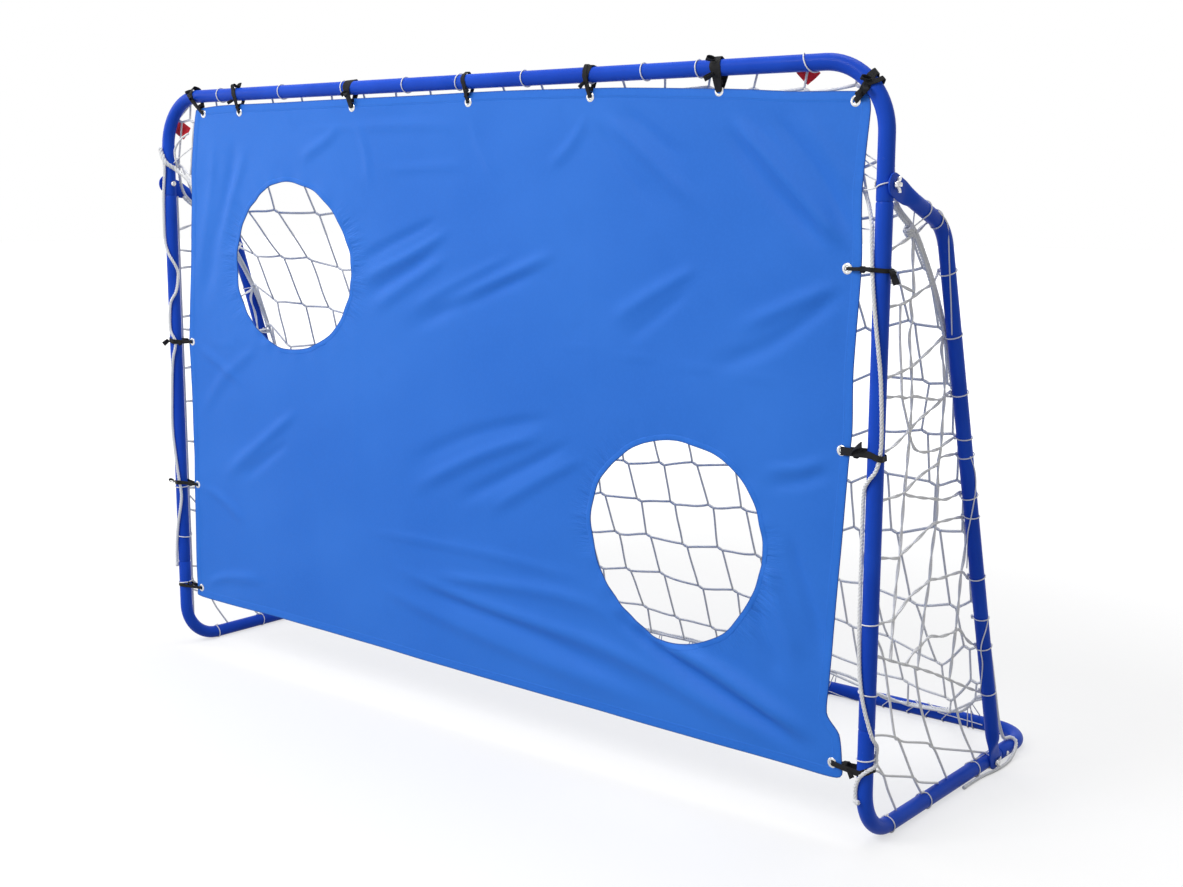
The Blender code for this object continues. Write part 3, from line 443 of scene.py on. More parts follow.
def wing_nut(name, place, sign, stub, body, node):
    """A cast nut: a stepped hub with two raised, rounded wings. A stub shows the bolt's end in it."""
    hub = [(0.0045, 0.0), (0.0066, 0.0), (0.0071, 0.0006), (0.0068, 0.0030), (0.0060, 0.0072),
           (0.0054, 0.0084), (0.0043, NUT_HEIGHT)]
    if stub:
        hub = [(0.0037, -stub)] + hub + [(0.0010, 0.0094)]
    else:
        hub += [(BOLT + 0.0003, 0.0084), (BOLT + 0.0003, 0.0001), (0.0045, 0.0)]
    points, faces = lathed(hub, 48, (0, 0, 0), (0, 0, 1))
    if not stub:
        faces = faces[:-2]
    for wing in (-1, 1):
        base = len(points)
        wing_points, wing_faces = wing_rings(wing)
        points += wing_points
        faces += [tuple(base + k for k in face) for face in wing_faces]
    turn = np.array(((0, 0, sign), (0, sign, 0), (-1, 0, 0)), float)
    points = [np.array(place) + turn @ np.asarray(point) for point in points]
    piece(name, points, faces, plate, [node], body=body)


SCREW = [(0.0, 0.0030), (0.0030, 0.00285), (0.0043, 0.0021), (0.00475, 0.0010), (0.00475, 0.0),
         (0.0025, 0.0), (0.0022, -0.0064)]
for side, sign in SIDES.items():
    pivot = (sign * INNER_FACE, *PIVOT)
    foot = (sign * INNER_FACE, *STAY_FOOT)
    through = OUTER_FACE - INNER_FACE + NUT_HEIGHT + BOLT_PAST_NUT
    for name, place, reach, threaded in (("pivot_bolt", pivot, through, 0.0140),
                                         ("foot_bolt", foot, 2 * TUBE, 0.0100)):
        points, faces = lathed(bolt_profile(reach, threaded), 36, place, (-sign, 0, 0))
        node = "%s_%s" % (name, side)
        piece("plated_" + node, points, faces, plate, [node], sharp=40)
    wing_nut("cast_pivot_nut_" + side, (sign * OUTER_FACE, *PIVOT), sign, 0,
             "pivot_wing_nut_%s_body" % side, "pivot_wing_nut_" + side)
    wing_nut("cast_foot_nut_" + side, (sign * OUTER_FACE, *STAY_FOOT), sign, FOOT_STUB,
             "foot_wing_nut_%s_body" % side, "foot_wing_nut_" + side)
    points, faces = lathed(SCREW, 36, (sign * (POST_X + TUBE + 0.0003), SCREW_Y, FLOOR_Z), (sign, 0, 0))
    piece("plated_joint_screw_" + side, points, faces, plate, ["joint_screw_" + side], sharp=40)


# TARGET SCREEN
# One sheet of coated polyester cloth, hemmed all round, with two bound holes to shoot through.
# Thirteen eyelets take the tapes that pull it toward the tubes, and it wrinkles between them.
CLOTH_THICKNESS = 0.0012
CLOTH_PITCH = 0.0115
HEM_WIDTH, BINDING_WIDTH = 0.020, 0.012
EYELET_BORE = 0.0064
OUTLINE = [(-0.928, 1.452), (-0.828, 1.459), (-0.620, 1.459), (-0.420, 1.460), (-0.150, 1.460),
           (0.124, 1.461), (0.444, 1.456), (0.731, 1.443), (0.861, 1.434), (0.990, 1.430), (1.018, 1.424),
           (1.025, 1.395), (1.014, 1.255), (1.017, 1.134), (1.014, 1.054), (1.006, 0.922), (1.008, 0.808),
           (1.002, 0.740), (0.995, 0.626), (0.982, 0.424), (0.975, 0.315), (0.971, 0.250), (1.000, 0.214),
           (1.008, 0.162), (1.001, 0.127), (0.869, 0.127), (0.400, 0.132), (-0.078, 0.138), (-0.652, 0.148),
           (-0.985, 0.149), (-1.004, 0.172), (-1.004, 0.332), (-1.000, 0.461), (-0.999, 0.551),
           (-0.998, 0.782), (-1.000, 0.848), (-0.985, 1.000), (-0.968, 1.221), (-0.964, 1.298),
           (-0.947, 1.402), (-0.938, 1.440)]
# Each hole: its middle, half width, half height and how far the pull skews it.
HOLES = {"upper": (-0.577, 1.062, 0.214, 0.206, -0.012), "lower": (0.600, 0.537, 0.216, 0.212, 0.012)}
EYELETS = [(-0.905, 1.440), (-0.760, 1.440), (-0.345, 1.440), (0.030, 1.440), (0.375, 1.440),
           (0.695, 1.440), (0.9937, 1.4122), (0.987, 1.110), (0.987, 0.770), (0.987, 0.155),
           (-0.987, 0.848), (-0.987, 0.461), (-0.987, 0.174)]
TUBE_POINTS = [(-0.935, BAR_Z - 0.0002)] + [(x, BAR_Z) for x, z in EYELETS[1:6]] + [(1.0256, 1.4410)]
TUBE_POINTS += [(POST_X, z) for x, z in EYELETS[7:10]] + [(-POST_X, z) for x, z in EYELETS[10:]]
# Each fold: its line across the cloth, half width and height. Heights above zero stand toward the
# pitch.
FOLDS = [([(0.709, 1.404), (0.859, 1.271), (1.013, 1.118)], 0.021, 0.0105),
         ([(0.800, 1.411), (0.923, 1.280), (1.012, 1.136)], 0.017, -0.0060),
         ([(0.700, 1.390), (0.800, 1.270), (0.965, 1.130)], 0.020, -0.0060),
         ([(0.877, 1.399), (1.010, 1.235)], 0.016, 0.0040),
         ([(0.393, 1.417), (0.530, 1.311), (0.666, 1.204)], 0.018, 0.0060),
         ([(0.452, 1.421), (0.628, 1.300)], 0.015, -0.0045),
         ([(0.380, 1.400), (0.470, 1.290), (0.560, 1.200)], 0.016, -0.0035),
         ([(1.005, 1.097), (0.866, 1.037), (0.730, 0.978)], 0.017, 0.0050),
         ([(1.000, 1.081), (0.823, 0.958), (0.660, 0.897)], 0.019, -0.0048),
         ([(0.661, 1.106), (0.546, 1.048), (0.417, 0.973)], 0.018, 0.0050),
         ([(0.633, 1.055), (0.457, 0.934)], 0.016, -0.0032),
         ([(0.299, 1.125), (0.121, 1.055), (-0.070, 0.975)], 0.018, 0.0062),
         ([(0.250, 1.085), (-0.032, 0.985), (-0.195, 0.920)], 0.018, -0.0048),
         ([(0.180, 1.120), (-0.032, 1.035), (-0.195, 0.960)], 0.015, 0.0036),
         ([(-0.014, 1.166), (-0.175, 1.094), (-0.347, 1.030)], 0.014, 0.0065),
         ([(-0.050, 1.190), (-0.258, 1.110), (-0.349, 1.068)], 0.013, -0.0050),
         ([(-0.062, 1.115), (-0.210, 1.045), (-0.331, 0.992)], 0.013, -0.0045),
         ([(-0.020, 1.110), (-0.190, 1.022), (-0.310, 0.960)], 0.015, 0.0040),
         ([(-0.551, 0.710), (-0.711, 0.606), (-0.890, 0.485)], 0.018, 0.0050),
         ([(-0.593, 0.624), (-0.806, 0.495)], 0.016, -0.0036),
         ([(-0.767, 1.409), (-0.829, 1.222), (-0.951, 0.908)], 0.024, -0.0036),
         ([(-0.723, 1.380), (-0.800, 1.230), (-0.905, 1.020)], 0.022, 0.0028),
         ([(-0.860, 1.400), (-0.890, 1.230), (-0.975, 0.960)], 0.022, 0.0024),
         ([(-0.381, 1.393), (-0.452, 1.359), (-0.541, 1.320)], 0.015, 0.0040),
         ([(0.271, 0.732), (0.057, 0.658), (-0.187, 0.542)], 0.019, 0.0062),
         ([(0.345, 0.723), (0.178, 0.638), (-0.039, 0.530)], 0.017, -0.0056),
         ([(0.300, 0.770), (0.040, 0.705), (-0.200, 0.600)], 0.017, -0.0040),
         ([(0.378, 0.694), (0.237, 0.622), (0.060, 0.520)], 0.016, 0.0046),
         ([(-0.347, 0.427), (0.055, 0.433), (0.407, 0.413)], 0.012, 0.0030),
         ([(-0.278, 0.362), (0.022, 0.314), (0.435, 0.274), (0.760, 0.190), (0.960, 0.160)], 0.020, 0.0060),
         ([(0.400, 0.372), (0.560, 0.300), (0.771, 0.222), (0.985, 0.160)], 0.019, -0.0095),
         ([(0.516, 0.330), (0.720, 0.282), (0.975, 0.172)], 0.024, 0.0125),
         ([(-0.141, 0.350), (0.294, 0.372), (0.500, 0.330)], 0.018, 0.0052),
         ([(-0.200, 0.320), (0.200, 0.270), (0.620, 0.190)], 0.022, -0.0056),
         ([(-0.320, 0.300), (0.100, 0.230), (0.600, 0.170)], 0.024, 0.0045),
         ([(0.820, 0.560), (0.860, 0.450), (0.920, 0.330)], 0.024, 0.0075),
         ([(0.870, 0.600), (0.925, 0.470), (0.965, 0.340)], 0.018, -0.0060),
         ([(0.800, 0.470), (0.820, 0.380), (0.880, 0.280)], 0.020, -0.0058),
         ([(0.806, 0.712), (0.900, 0.727), (0.985, 0.760)], 0.012, 0.0045),
         ([(0.812, 0.680), (0.905, 0.700), (0.975, 0.735)], 0.012, -0.0038),
         ([(0.120, 0.934), (0.457, 0.913), (0.990, 0.879)], 0.005, 0.0014),
         ([(-0.998, 0.844), (-0.640, 0.864), (-0.299, 0.884)], 0.005, 0.0013),
         ([(0.375, 1.292), (0.378, 0.740)], 0.005, 0.0012),
         ([(-0.340, 1.249), (-0.366, 0.399)], 0.005, 0.0012),
         ([(-0.253, 1.295), (0.034, 1.304)], 0.011, 0.0024),
         ([(-0.530, 1.392), (-0.200, 1.396), (0.035, 1.390)], 0.012, 0.0026),
         ([(-0.345, 1.425), (-0.300, 1.340), (-0.290, 1.240)], 0.013, 0.0030),
         ([(0.030, 1.425), (0.060, 1.350), (0.120, 1.270)], 0.014, 0.0034),
         ([(0.375, 1.425), (0.330, 1.350), (0.250, 1.290)], 0.014, 0.0034),
         ([(-0.985, 0.461), (-0.900, 0.440), (-0.780, 0.380)], 0.014, 0.0040),
         ([(-0.985, 0.174), (-0.880, 0.220), (-0.700, 0.240)], 0.015, 0.0042),
         ([(-0.985, 0.848), (-0.880, 0.800), (-0.760, 0.740)], 0.014, 0.0038),
         ([(-0.700, 0.862), (-0.860, 0.760), (-0.970, 0.640)], 0.020, 0.0030)]


def curve_between(p0, p1, p2, p3, t):
    """The place at share t between p1 and p2 on a smooth curve through four points."""
    return 0.5 * (2 * p1 + (p2 - p0) * t + (2 * p0 - 5 * p1 + 4 * p2 - p3) * t ** 2
                  + (3 * p1 - p0 - 3 * p2 + p3) * t ** 3)


def smooth_points(points, steps):
    """A smooth open line through points of any width."""
    points = np.asarray(points, float)
    last = len(points) - 1
    line = []
    for k in range(last):
        around = [points[min(max(k + shift, 0), last)] for shift in (-1, 0, 1, 2)]
        line += [curve_between(*around, t) for t in np.arange(steps) / steps]
    return np.array(line + [points[-1]])


def lengths_along(points):
    return np.concatenate(([0], np.cumsum(np.linalg.norm(np.diff(points, axis=0), axis=1))))


def closed_line(points, pitch):
    """A closed line at an even pitch, between the smooth and the straight way through the points."""
    points = np.array(points)
    count = len(points)
    fine = []
    for k in range(count):
        around = [points[(k + shift) % count] for shift in (-1, 0, 1, 2)]
        for t in np.linspace(0, 1, 24, endpoint=False):
            straight = around[1] + (around[2] - around[1]) * t
            fine.append(curve_between(*around, t) * 0.65 + straight * 0.35)
    fine = np.array(fine + [fine[0]])
    lengths = lengths_along(fine)
    even = np.linspace(0, lengths[-1], int(lengths[-1] / pitch) + 1)[:-1]
    return np.stack([np.interp(even, lengths, fine[:, k]) for k in (0, 1)], -1)


def hole_line(x, z, wide, high, skew, pitch=0.0075):
    """A hole's edge: cut round, and drawn slightly egg-shaped and wavy by the pull on the cloth."""
    angles = np.linspace(0, 2 * math.pi, 260, endpoint=False)
    wave = 1 + 0.012 * np.sin(3 * angles + x * 9) + 0.006 * np.sin(7 * angles + 1.3)
    wave += 0.004 * np.sin(13 * angles)
    line = np.stack([x + wide * wave * np.cos(angles) + skew * np.sin(2 * angles),
                     z + high * wave * np.sin(angles) - skew * np.cos(angles) ** 2], -1)
    return closed_line(line[::4], pitch)


def from_line(x, z, line):
    """Distance from a broken line, and how far along it the nearest point is."""
    best = np.full(np.shape(x), 9.0)
    along = np.zeros(np.shape(x))
    spans = [math.dist(a, b) for a, b in zip(line, line[1:])]
    done = 0.0
    for (ax, az), (bx, bz), span in zip(line, line[1:], spans):
        t = np.clip(((x - ax) * (bx - ax) + (z - az) * (bz - az)) / span ** 2, 0, 1)
        gap = np.hypot(x - ax - (bx - ax) * t, z - az - (bz - az) * t)
        nearer = gap < best
        along = np.where(nearer, (done + t * span) / sum(spans), along)
        best = np.minimum(best, gap)
        done += span
    return best, along


def softly(share):
    """Eases a share in at 0 and out at 1."""
    share = np.clip(share, 0, 1)
    return share * share * (3 - 2 * share)


FOLDS = [(smooth_points(line, 6), width * 0.78, height * 1.28) for line, width, height in FOLDS]


def cloth_swell(x, z):
    """How far the cloth stands toward the pitch, in metres, at places on its plane."""
    x, z = np.asarray(x, float), np.asarray(z, float)
    swell = np.zeros(x.shape)
    for line, width, height in FOLDS:
        gap, along = from_line(x, z, line)
        taper = softly(along / 0.25) * softly((1 - along) / 0.30)
        spread = width * (0.75 + 0.6 * along)
        ridge = np.exp(-(gap / spread) ** 2) - 0.22 * np.exp(-(gap / (2.2 * spread)) ** 2)
        swell += height * ridge * taper
    swell += 0.0016 * np.sin(7.1 * x + 3.0 * z + 0.4) * np.sin(5.3 * z - 2.1 * x)
    swell += 0.0007 * np.sin(23 * x - 17 * z + 1.0) * np.sin(19 * z + 6 * x)
    for hx, hz, wide, high, skew in HOLES.values():
        reach = np.hypot((x - hx) / wide, (z - hz) / high)
        angle = np.arctan2(z - hz, x - hx)
        pucker = np.sin(angle * 21 + 2 * np.sin(3 * angle)) * np.exp(-((reach - 1.02) / 0.13) ** 2)
        swell += 0.0011 * pucker
    near = np.min([np.hypot(x - ex, z - ez) for ex, ez in EYELETS], axis=0)
    return swell * softly((near - 0.012) / 0.075)


def cloth_mesh(outline, openings, pitch):
    """Triangles that fill an outline round its openings: 2-D points and faces."""
    loops = [outline] + openings
    points = [tuple(p) for loop in loops for p in loop]
    edges, start = [], 0
    for loop in loops:
        edges += [(start + k, start + (k + 1) % len(loop)) for k in range(len(loop))]
        start += len(loop)
    low, high = outline.min(0), outline.max(0)
    row_pitch = pitch * 0.87
    grid = []
    for row in range(int((high[1] - low[1]) / row_pitch)):
        z = low[1] + row_pitch * (row + 0.5)
        for x in np.arange(low[0] + pitch * (0.25 + 0.5 * (row % 2)), high[0], pitch):
            grid.append((x, z))
    grid = np.array(grid)
    inside = inside_loop(grid, outline)
    clear = np.full(len(grid), 9.0)
    for loop in loops:
        clear = np.minimum(clear, nearest_gap(grid, loop))
    for loop in openings:
        inside &= ~inside_loop(grid, loop)
    grid = grid[inside & (clear > pitch * 0.55)]
    points += [tuple(p) for p in grid]
    result = delaunay_2d_cdt([Vector(p) for p in points], edges, [], 1, 1e-6)
    flat = np.array([tuple(p) for p in result[0]])
    faces = [tuple(face) for face in result[2]]
    middles = np.array([flat[list(face)].mean(0) for face in faces])
    keep = inside_loop(middles, outline)
    for loop in openings:
        keep &= ~inside_loop(middles, loop)
    return flat, [face for face, kept in zip(faces, keep) if kept]


def inside_loop(spots, loop):
    """Which spots lie inside a closed loop."""
    inside = np.zeros(len(spots), bool)
    x, z = spots[:, 0], spots[:, 1]
    for (ax, az), (bx, bz) in zip(loop, np.roll(loop, -1, axis=0)):
        crosses = (az > z) != (bz > z)
        if az != bz:
            inside ^= crosses & (x < (bx - ax) * (z - az) / (bz - az) + ax)
    return inside


def nearest_gap(spots, loop):
    """How far each spot is from the nearest point of a loop."""
    gap = np.full(len(spots), 9.0)
    for point in loop:
        gap = np.minimum(gap, np.hypot(spots[:, 0] - point[0], spots[:, 1] - point[1]))
    return gap


def twice_area(a, b, c):
    """Twice a flat triangle's area, above zero where its corners run anticlockwise."""
    return (b[0] - a[0]) * (c[1] - a[1]) - (b[1] - a[1]) * (c[0] - a[0])


cloth = Finish("coated_cloth", {"Specular IOR Level": 0.25})
spot = cloth.place()
across, up = cloth.axis(spot, "X"), cloth.axis(spot, "Z")
threads = (across * 5200.0).sine() * (up * 5200.0).sine()
fade = cloth.cloud(2.2, 3.0)
slub = cloth.cloud(170.0, 3.0)
smudge = cloth.cloud(9.0, 5.0, roughness=0.6).between(0.55, 0.8)
tint = cloth.blend(fade.between(0.3, 0.7), (0.019, 0.164, 0.690), (0.027, 0.188, 0.740))
tint = cloth.blend(slub.between(0.35, 0.75) * 0.25, tint, (0.032, 0.202, 0.770))
cloth.show("Base Color", cloth.blend(smudge * 0.16, tint, (0.020, 0.138, 0.590)))
cloth.show("Roughness", 0.50 + slub * 0.14 + smudge * 0.06)
gathers = 0.0
for hole, phase in zip(HOLES.values(), (-1.57, -2.37)):
    beside, above = across - hole[0], up - hole[1]
    reach = (beside * beside + above * above) ** 0.5
    turn = beside.maths("ARCTAN2", beside, above)
    radial = cloth.node("ShaderNodeCombineXYZ", {}, {"X": turn * 10.0, "Y": reach * 6.0})
    patchy = (turn * 2.0 + phase).sine().between(-0.2, 1.0)
    near_rim = 1 - (reach - 0.200).between(0.0, 0.095)
    gathers = (cloth.cloud(1.0, 4.0, radial, 0.65) - 0.5) * patchy * near_rim + gathers
cloth.relief(threads * 0.04 + slub * 0.06 + gathers * 9.0, 0.0013)

outline = closed_line(OUTLINE, 0.008)
hole_lines = {name: hole_line(*hole) for name, hole in HOLES.items()}
turns = np.linspace(0, 2 * math.pi, 20, endpoint=False)
eyelet_holes = [np.array([(x + EYELET_BORE * math.cos(a), z + EYELET_BORE * math.sin(a)) for a in turns])
                for x, z in EYELETS]
flat, triangles = cloth_mesh(outline, list(hole_lines.values()) + eyelet_holes, CLOTH_PITCH)
stand = cloth_swell(flat[:, 0], flat[:, 1])
half = CLOTH_THICKNESS / 2
front = np.stack([flat[:, 0], POST_Y - stand - half, flat[:, 1]], -1)
back = np.stack([flat[:, 0], POST_Y - stand + half, flat[:, 1]], -1)
count = len(flat)
first_faces = [(a, b, c) if twice_area(flat[a], flat[b], flat[c]) > 0 else (a, c, b)
               for a, b, c in triangles]
sheet_faces = first_faces + [(c + count, b + count, a + count) for a, b, c in first_faces]
edges = [edge for face in first_faces for edge in zip(face, face[1:] + face[:1])]
both_ways = set(edges)
sheet_faces += [(b, a, a + count, b + count) for a, b in edges if (b, a) not in both_ways]
screen = piece("target_cloth", np.concatenate([front, back]), sheet_faces, cloth,
               ["target_screen"], sharp=60)
cut_area = sum(abs(twice_area(flat[a], flat[b], flat[c])) / 2 for a, b, c in triangles)


def inset_line(line, inward):
    """A closed line moved into the cloth, which lies to the right of its run."""
    run = np.roll(line, -2, axis=0) - np.roll(line, 2, axis=0)
    run /= np.linalg.norm(run, axis=1)[:, None]
    return line + np.stack([run[:, 1], -run[:, 0]], -1) * inward


def hem(name, line, width):
    """A folded band sewn along an edge on both faces, with its two rows of stitch pits."""
    points, uv = [], []
    lengths = lengths_along(line)
    levels = [0.0, 0.04, 0.14, 0.5, 0.84, 0.96, 1.0]
    rises = [0.0, 0.0003, 0.0005, 0.0005, 0.0005, 0.0003, 0.0]
    steps = len(levels)
    for face in (-1, 1):
        for level, rise in zip(levels, rises):
            ring = inset_line(line, width * level)
            y = POST_Y - cloth_swell(ring[:, 0], ring[:, 1]) + face * (half + rise)
            points.append(np.stack([ring[:, 0], y, ring[:, 1]], -1))
            uv.append(np.stack([np.full(len(line), level * width), lengths], -1))
    n = len(line)
    faces = []
    for first, second, outward in ([(row, row + 1, False) for row in range(steps - 1)]
                                   + [(row, row + 1, True) for row in range(steps, 2 * steps - 1)]
                                   + [(0, steps, True), (2 * steps - 1, steps - 1, True)]):
        for k in range(n):
            m = (k + 1) % n
            quad = (first * n + k, first * n + m, second * n + m, second * n + k)
            faces.append(quad if outward else quad[::-1])
    return piece(name, np.concatenate(points), faces, hemming,
                 uv=np.concatenate(uv), sharp=60)


hemming = Finish("hem_cloth", {"Specular IOR Level": 0.25})
run = hemming.place("UV")
step_in, step_on = hemming.axis(run, "X"), hemming.axis(run, "Y")
stitch_rows = [(1 - abs(step_in - seam) * 1400.0).between(0.0, 0.8) for seam in (0.0030, 0.0165)]
stitch = (stitch_rows[0] + stitch_rows[1]) * (step_on * 1570.0).sine().between(-0.2, 0.3)
slub = hemming.cloud(170.0, 3.0)
tint = hemming.blend(slub, (0.020, 0.168, 0.700), (0.028, 0.192, 0.755))
# A thin dark line along the very edge of each hem and hole binding is painted shade at the rim.
tint = hemming.blend((0.0016 - step_in).between(0.0, 0.0008) * 0.75, tint, (0.006, 0.020, 0.130))
hemming.show("Base Color", hemming.blend(stitch * 0.35, tint, (0.020, 0.100, 0.470)))
hemming.show("Roughness", 0.52 + slub * 0.14)
hemming.relief(slub * 0.3 - stitch * 1.0 + hemming.cloud(60.0, 2.0) * 1.2, 0.0004)

hems = [hem("screen_edge_hem", outline, HEM_WIDTH)]
for name, line in hole_lines.items():
    hems.append(hem("hole_binding_" + name, line, BINDING_WIDTH))


# EYELETS
# Two-part pressed brass rings, nickel plated: a rolled flange on the front and a washer behind.
BARREL, RIM = 0.0058, 0.0105
EYELET = [(0.00475, 0.0002), (0.0050, 0.0018), (0.0060, 0.00235), (0.0074, 0.00225), (0.0090, 0.0017),
          (RIM, 0.0008), (RIM - 0.0004, 0.0006), (BARREL, 0.0006), (BARREL, -0.0006), (RIM - 0.0002, -0.0006),
          (RIM, -0.0009), (0.0085, -0.0015), (0.0060, -0.0019), (0.0051, -0.0017), (0.00475, -0.0004)]
for index, (x, z) in enumerate(EYELETS):
    points, _ = lathed(EYELET, 40, (x, POST_Y, z), (0, -1, 0))
    piece("pressed_eyelet_%02d" % (index + 1), points, ring_faces(len(EYELET), 40, closed=True), plate,
          ["eyelet_%02d" % (index + 1)], sharp=60)


# TAPE TIES
# Black woven tape, doubled round the tube, passed through the eyelet and knotted on itself.
# No two lie alike: the tape skews, folds over and leaves a short tail.
tape = Finish("black_woven_tape", {"Specular IOR Level": 0.25})
run = tape.place("UV")
ribs = (tape.axis(run, "Y") * 3600.0 + abs(tape.axis(run, "X") - 0.5) * 9.0).sine()
fluff = tape.cloud(320.0, 3.0)
worn = ribs.between(-0.4, 0.9) * 0.7 + fluff * 0.3
tape.show("Base Color", tape.blend(worn, (0.0028, 0.0028, 0.0034), (0.0135, 0.0135, 0.0150)))
tape.show("Roughness", 0.62 + fluff * 0.2)
tape.relief(ribs * 0.6 + fluff * 0.6, 0.00028)

# The tape's section: across its width and through its thickness, with worn corners.
TAPE_SECTION = [(-1, -0.6), (-0.94, -1), (-0.5, -1), (0, -1), (0.5, -1), (0.94, -1), (1, -0.6),
                (1, 0.6), (0.94, 1), (0.5, 1), (0, 1), (-0.5, 1), (-0.94, 1), (-1, 0.6)]


def tape_ring(middles, sideways, widths, thickness=0.0012):
    """A closed loop of flat tape: at each middle its width lies along the sideways direction."""
    middles, sideways = np.asarray(middles), np.asarray(sideways)
    run = np.roll(middles, -1, axis=0) - np.roll(middles, 1, axis=0)
    points, uv = [], []
    done = 0.0
    for k, (middle, side, width) in enumerate(zip(middles, sideways, widths)):
        forward = unit(run[k])
        side = unit(side - forward * (side @ forward))
        face = np.cross(forward, side)
        done += np.linalg.norm(middles[k] - middles[k - 1]) if k else 0
        for u, v in TAPE_SECTION:
            points.append(middle + side * u * width / 2 + face * v * thickness / 2)
            uv.append(((u + 1) / 2, done))
    return points, ring_faces(len(middles), len(TAPE_SECTION), closed=True), uv


def merged(parts):
    """Several loops of tape as one mesh."""
    points, faces, uv = [], [], []
    for part_points, part_faces, part_uv in parts:
        faces += [tuple(len(points) + k for k in face) for face in part_faces]
        points += list(part_points)
        uv += list(part_uv)
    return points, faces, uv


# For each tie: the tape's width, how far it skews, how high it stands off the tube and at which
# angle, its width at the ring, and the angle of the edge rope that it holds down, if there is one.
TIES = [(0.0150, 0.0110, 0.0035, 165, 0.0075, None), (0.0150, -0.0060, 0.0110, 150, 0.0070, None),
        (0.0235, 0.0030, 0.0030, 200, 0.0110, None), (0.0125, -0.0050, 0.0050, 195, 0.0065, None),
        (0.0165, 0.0050, 0.0030, 160, 0.0075, None), (0.0250, -0.0040, 0.0040, 175, 0.0120, None),
        (0.0170, -0.0100, 0.0060, 175, 0.0085, None), (0.0085, 0.0015, 0.0040, 215, 0.0060, 55),
        (0.0120, 0.0060, 0.0030, 200, 0.0175, 139), (0.0130, -0.0080, 0.0040, 185, 0.0100, None),
        (0.0120, 0.0030, 0.0050, 185, 0.0070, 43), (0.0110, -0.0030, 0.0040, 180, 0.0065, 53),
        (0.0100, 0.0030, 0.0030, 175, 0.0065, None)]
# Bights of tape left standing at a knot: tie, distance from the tube toward the ring, its direction as
# shares of the tie's along, toward and front directions, length and width.
BIGHTS = [(0, 0.010, (0.9, 0.5, 0.3), 0.022, 0.0085), (0, -0.018, (-0.8, -0.3, 0.5), 0.016, 0.0080),
          (1, 0.016, (-0.9, 0.3, 0.3), 0.014, 0.0070), (1, -0.021, (0.9, 0.1, -0.2), 0.013, 0.0120),
          (2, 0.014, (0.8, 0.5, 0.4), 0.018, 0.0090), (2, 0.008, (-0.7, 0.7, 0.3), 0.013, 0.0090),
          (3, 0.018, (0.8, 0.4, 0.3), 0.013, 0.0070), (4, 0.016, (-0.7, 0.6, 0.3), 0.014, 0.0075),
          (5, 0.012, (-0.9, 0.4, 0.4), 0.020, 0.0100), (5, -0.014, (-0.7, -0.4, 0.5), 0.016, 0.0105),
          (6, 0.004, (0.9, 0.2, 0.6), 0.020, 0.0100), (6, -0.010, (-0.9, 0.3, 0.5), 0.018, 0.0090),
          (6, 0.018, (0.3, 0.9, 0.3), 0.012, 0.0080), (7, -0.021, (0.95, -0.25, -0.2), 0.026, 0.0125),
          (7, -0.020, (0.6, -0.6, 0.2), 0.012, 0.0100), (8, 0.046, (-0.4, -0.9, 0.2), 0.034, 0.0130),
          (9, 0.034, (0.7, -0.6, 0.3), 0.022, 0.0100), (10, 0.030, (-0.8, 0.3, 0.3), 0.014, 0.0080),
          (11, -0.010, (0.5, -0.6, 0.3), 0.014, 0.0110), (10, -0.010, (-0.5, -0.7, 0.3), 0.016, 0.0120),
          (12, 0.030, (0.8, 0.3, 0.3), 0.012, 0.0070)]
# How far a rope under a tape lifts it off the tube, and the ties that carry a second turn of tape.
ROPE_BULGE = 0.0098
SECOND_TURNS = (0, 4, 6)


def tape_bight(start, outward, across, length, width):
    """A bight of tape that stands out from a knot, folded nearly flat."""
    outward = unit(outward)
    across = unit(across - outward * (across @ outward))
    across = unit(across * 0.62 + np.cross(outward, across) * 0.78)
    broad = np.cross(outward, across)
    middles, sideways, widths = [], [], []
    for a in np.linspace(0, 2 * math.pi, 30, endpoint=False):
        opened = 0.0036 * math.sin(a) + 0.0030 * (1 - math.cos(a)) * length / 0.02
        middles.append(start + outward * length * (1 - math.cos(a)) / 2 + across * opened)
        sideways.append(broad + across * 0.35 * math.sin(a + 0.6))
        widths.append(width * (0.80 + 0.20 * math.sin(a / 2) ** 2))
    return tape_ring(middles, sideways, widths, 0.0014)


def even_rows(rows, count=132):
    """The rows of a closed loop, read again at an even count of places."""
    places = np.linspace(0, len(rows), count, endpoint=False)
    rows = np.array(rows + rows[:1])
    if rows.ndim == 1:
        return np.interp(places, np.arange(len(rows)), rows)
    return np.stack([np.interp(places, np.arange(len(rows)), column) for column in rows.T], -1)


def calm(rows, times=3):
    """Evens a closed loop out with its neighbours."""
    for _ in range(times):
        rows = (np.roll(rows, 1, axis=0) + 2 * rows + np.roll(rows, -1, axis=0)) / 4
    return rows


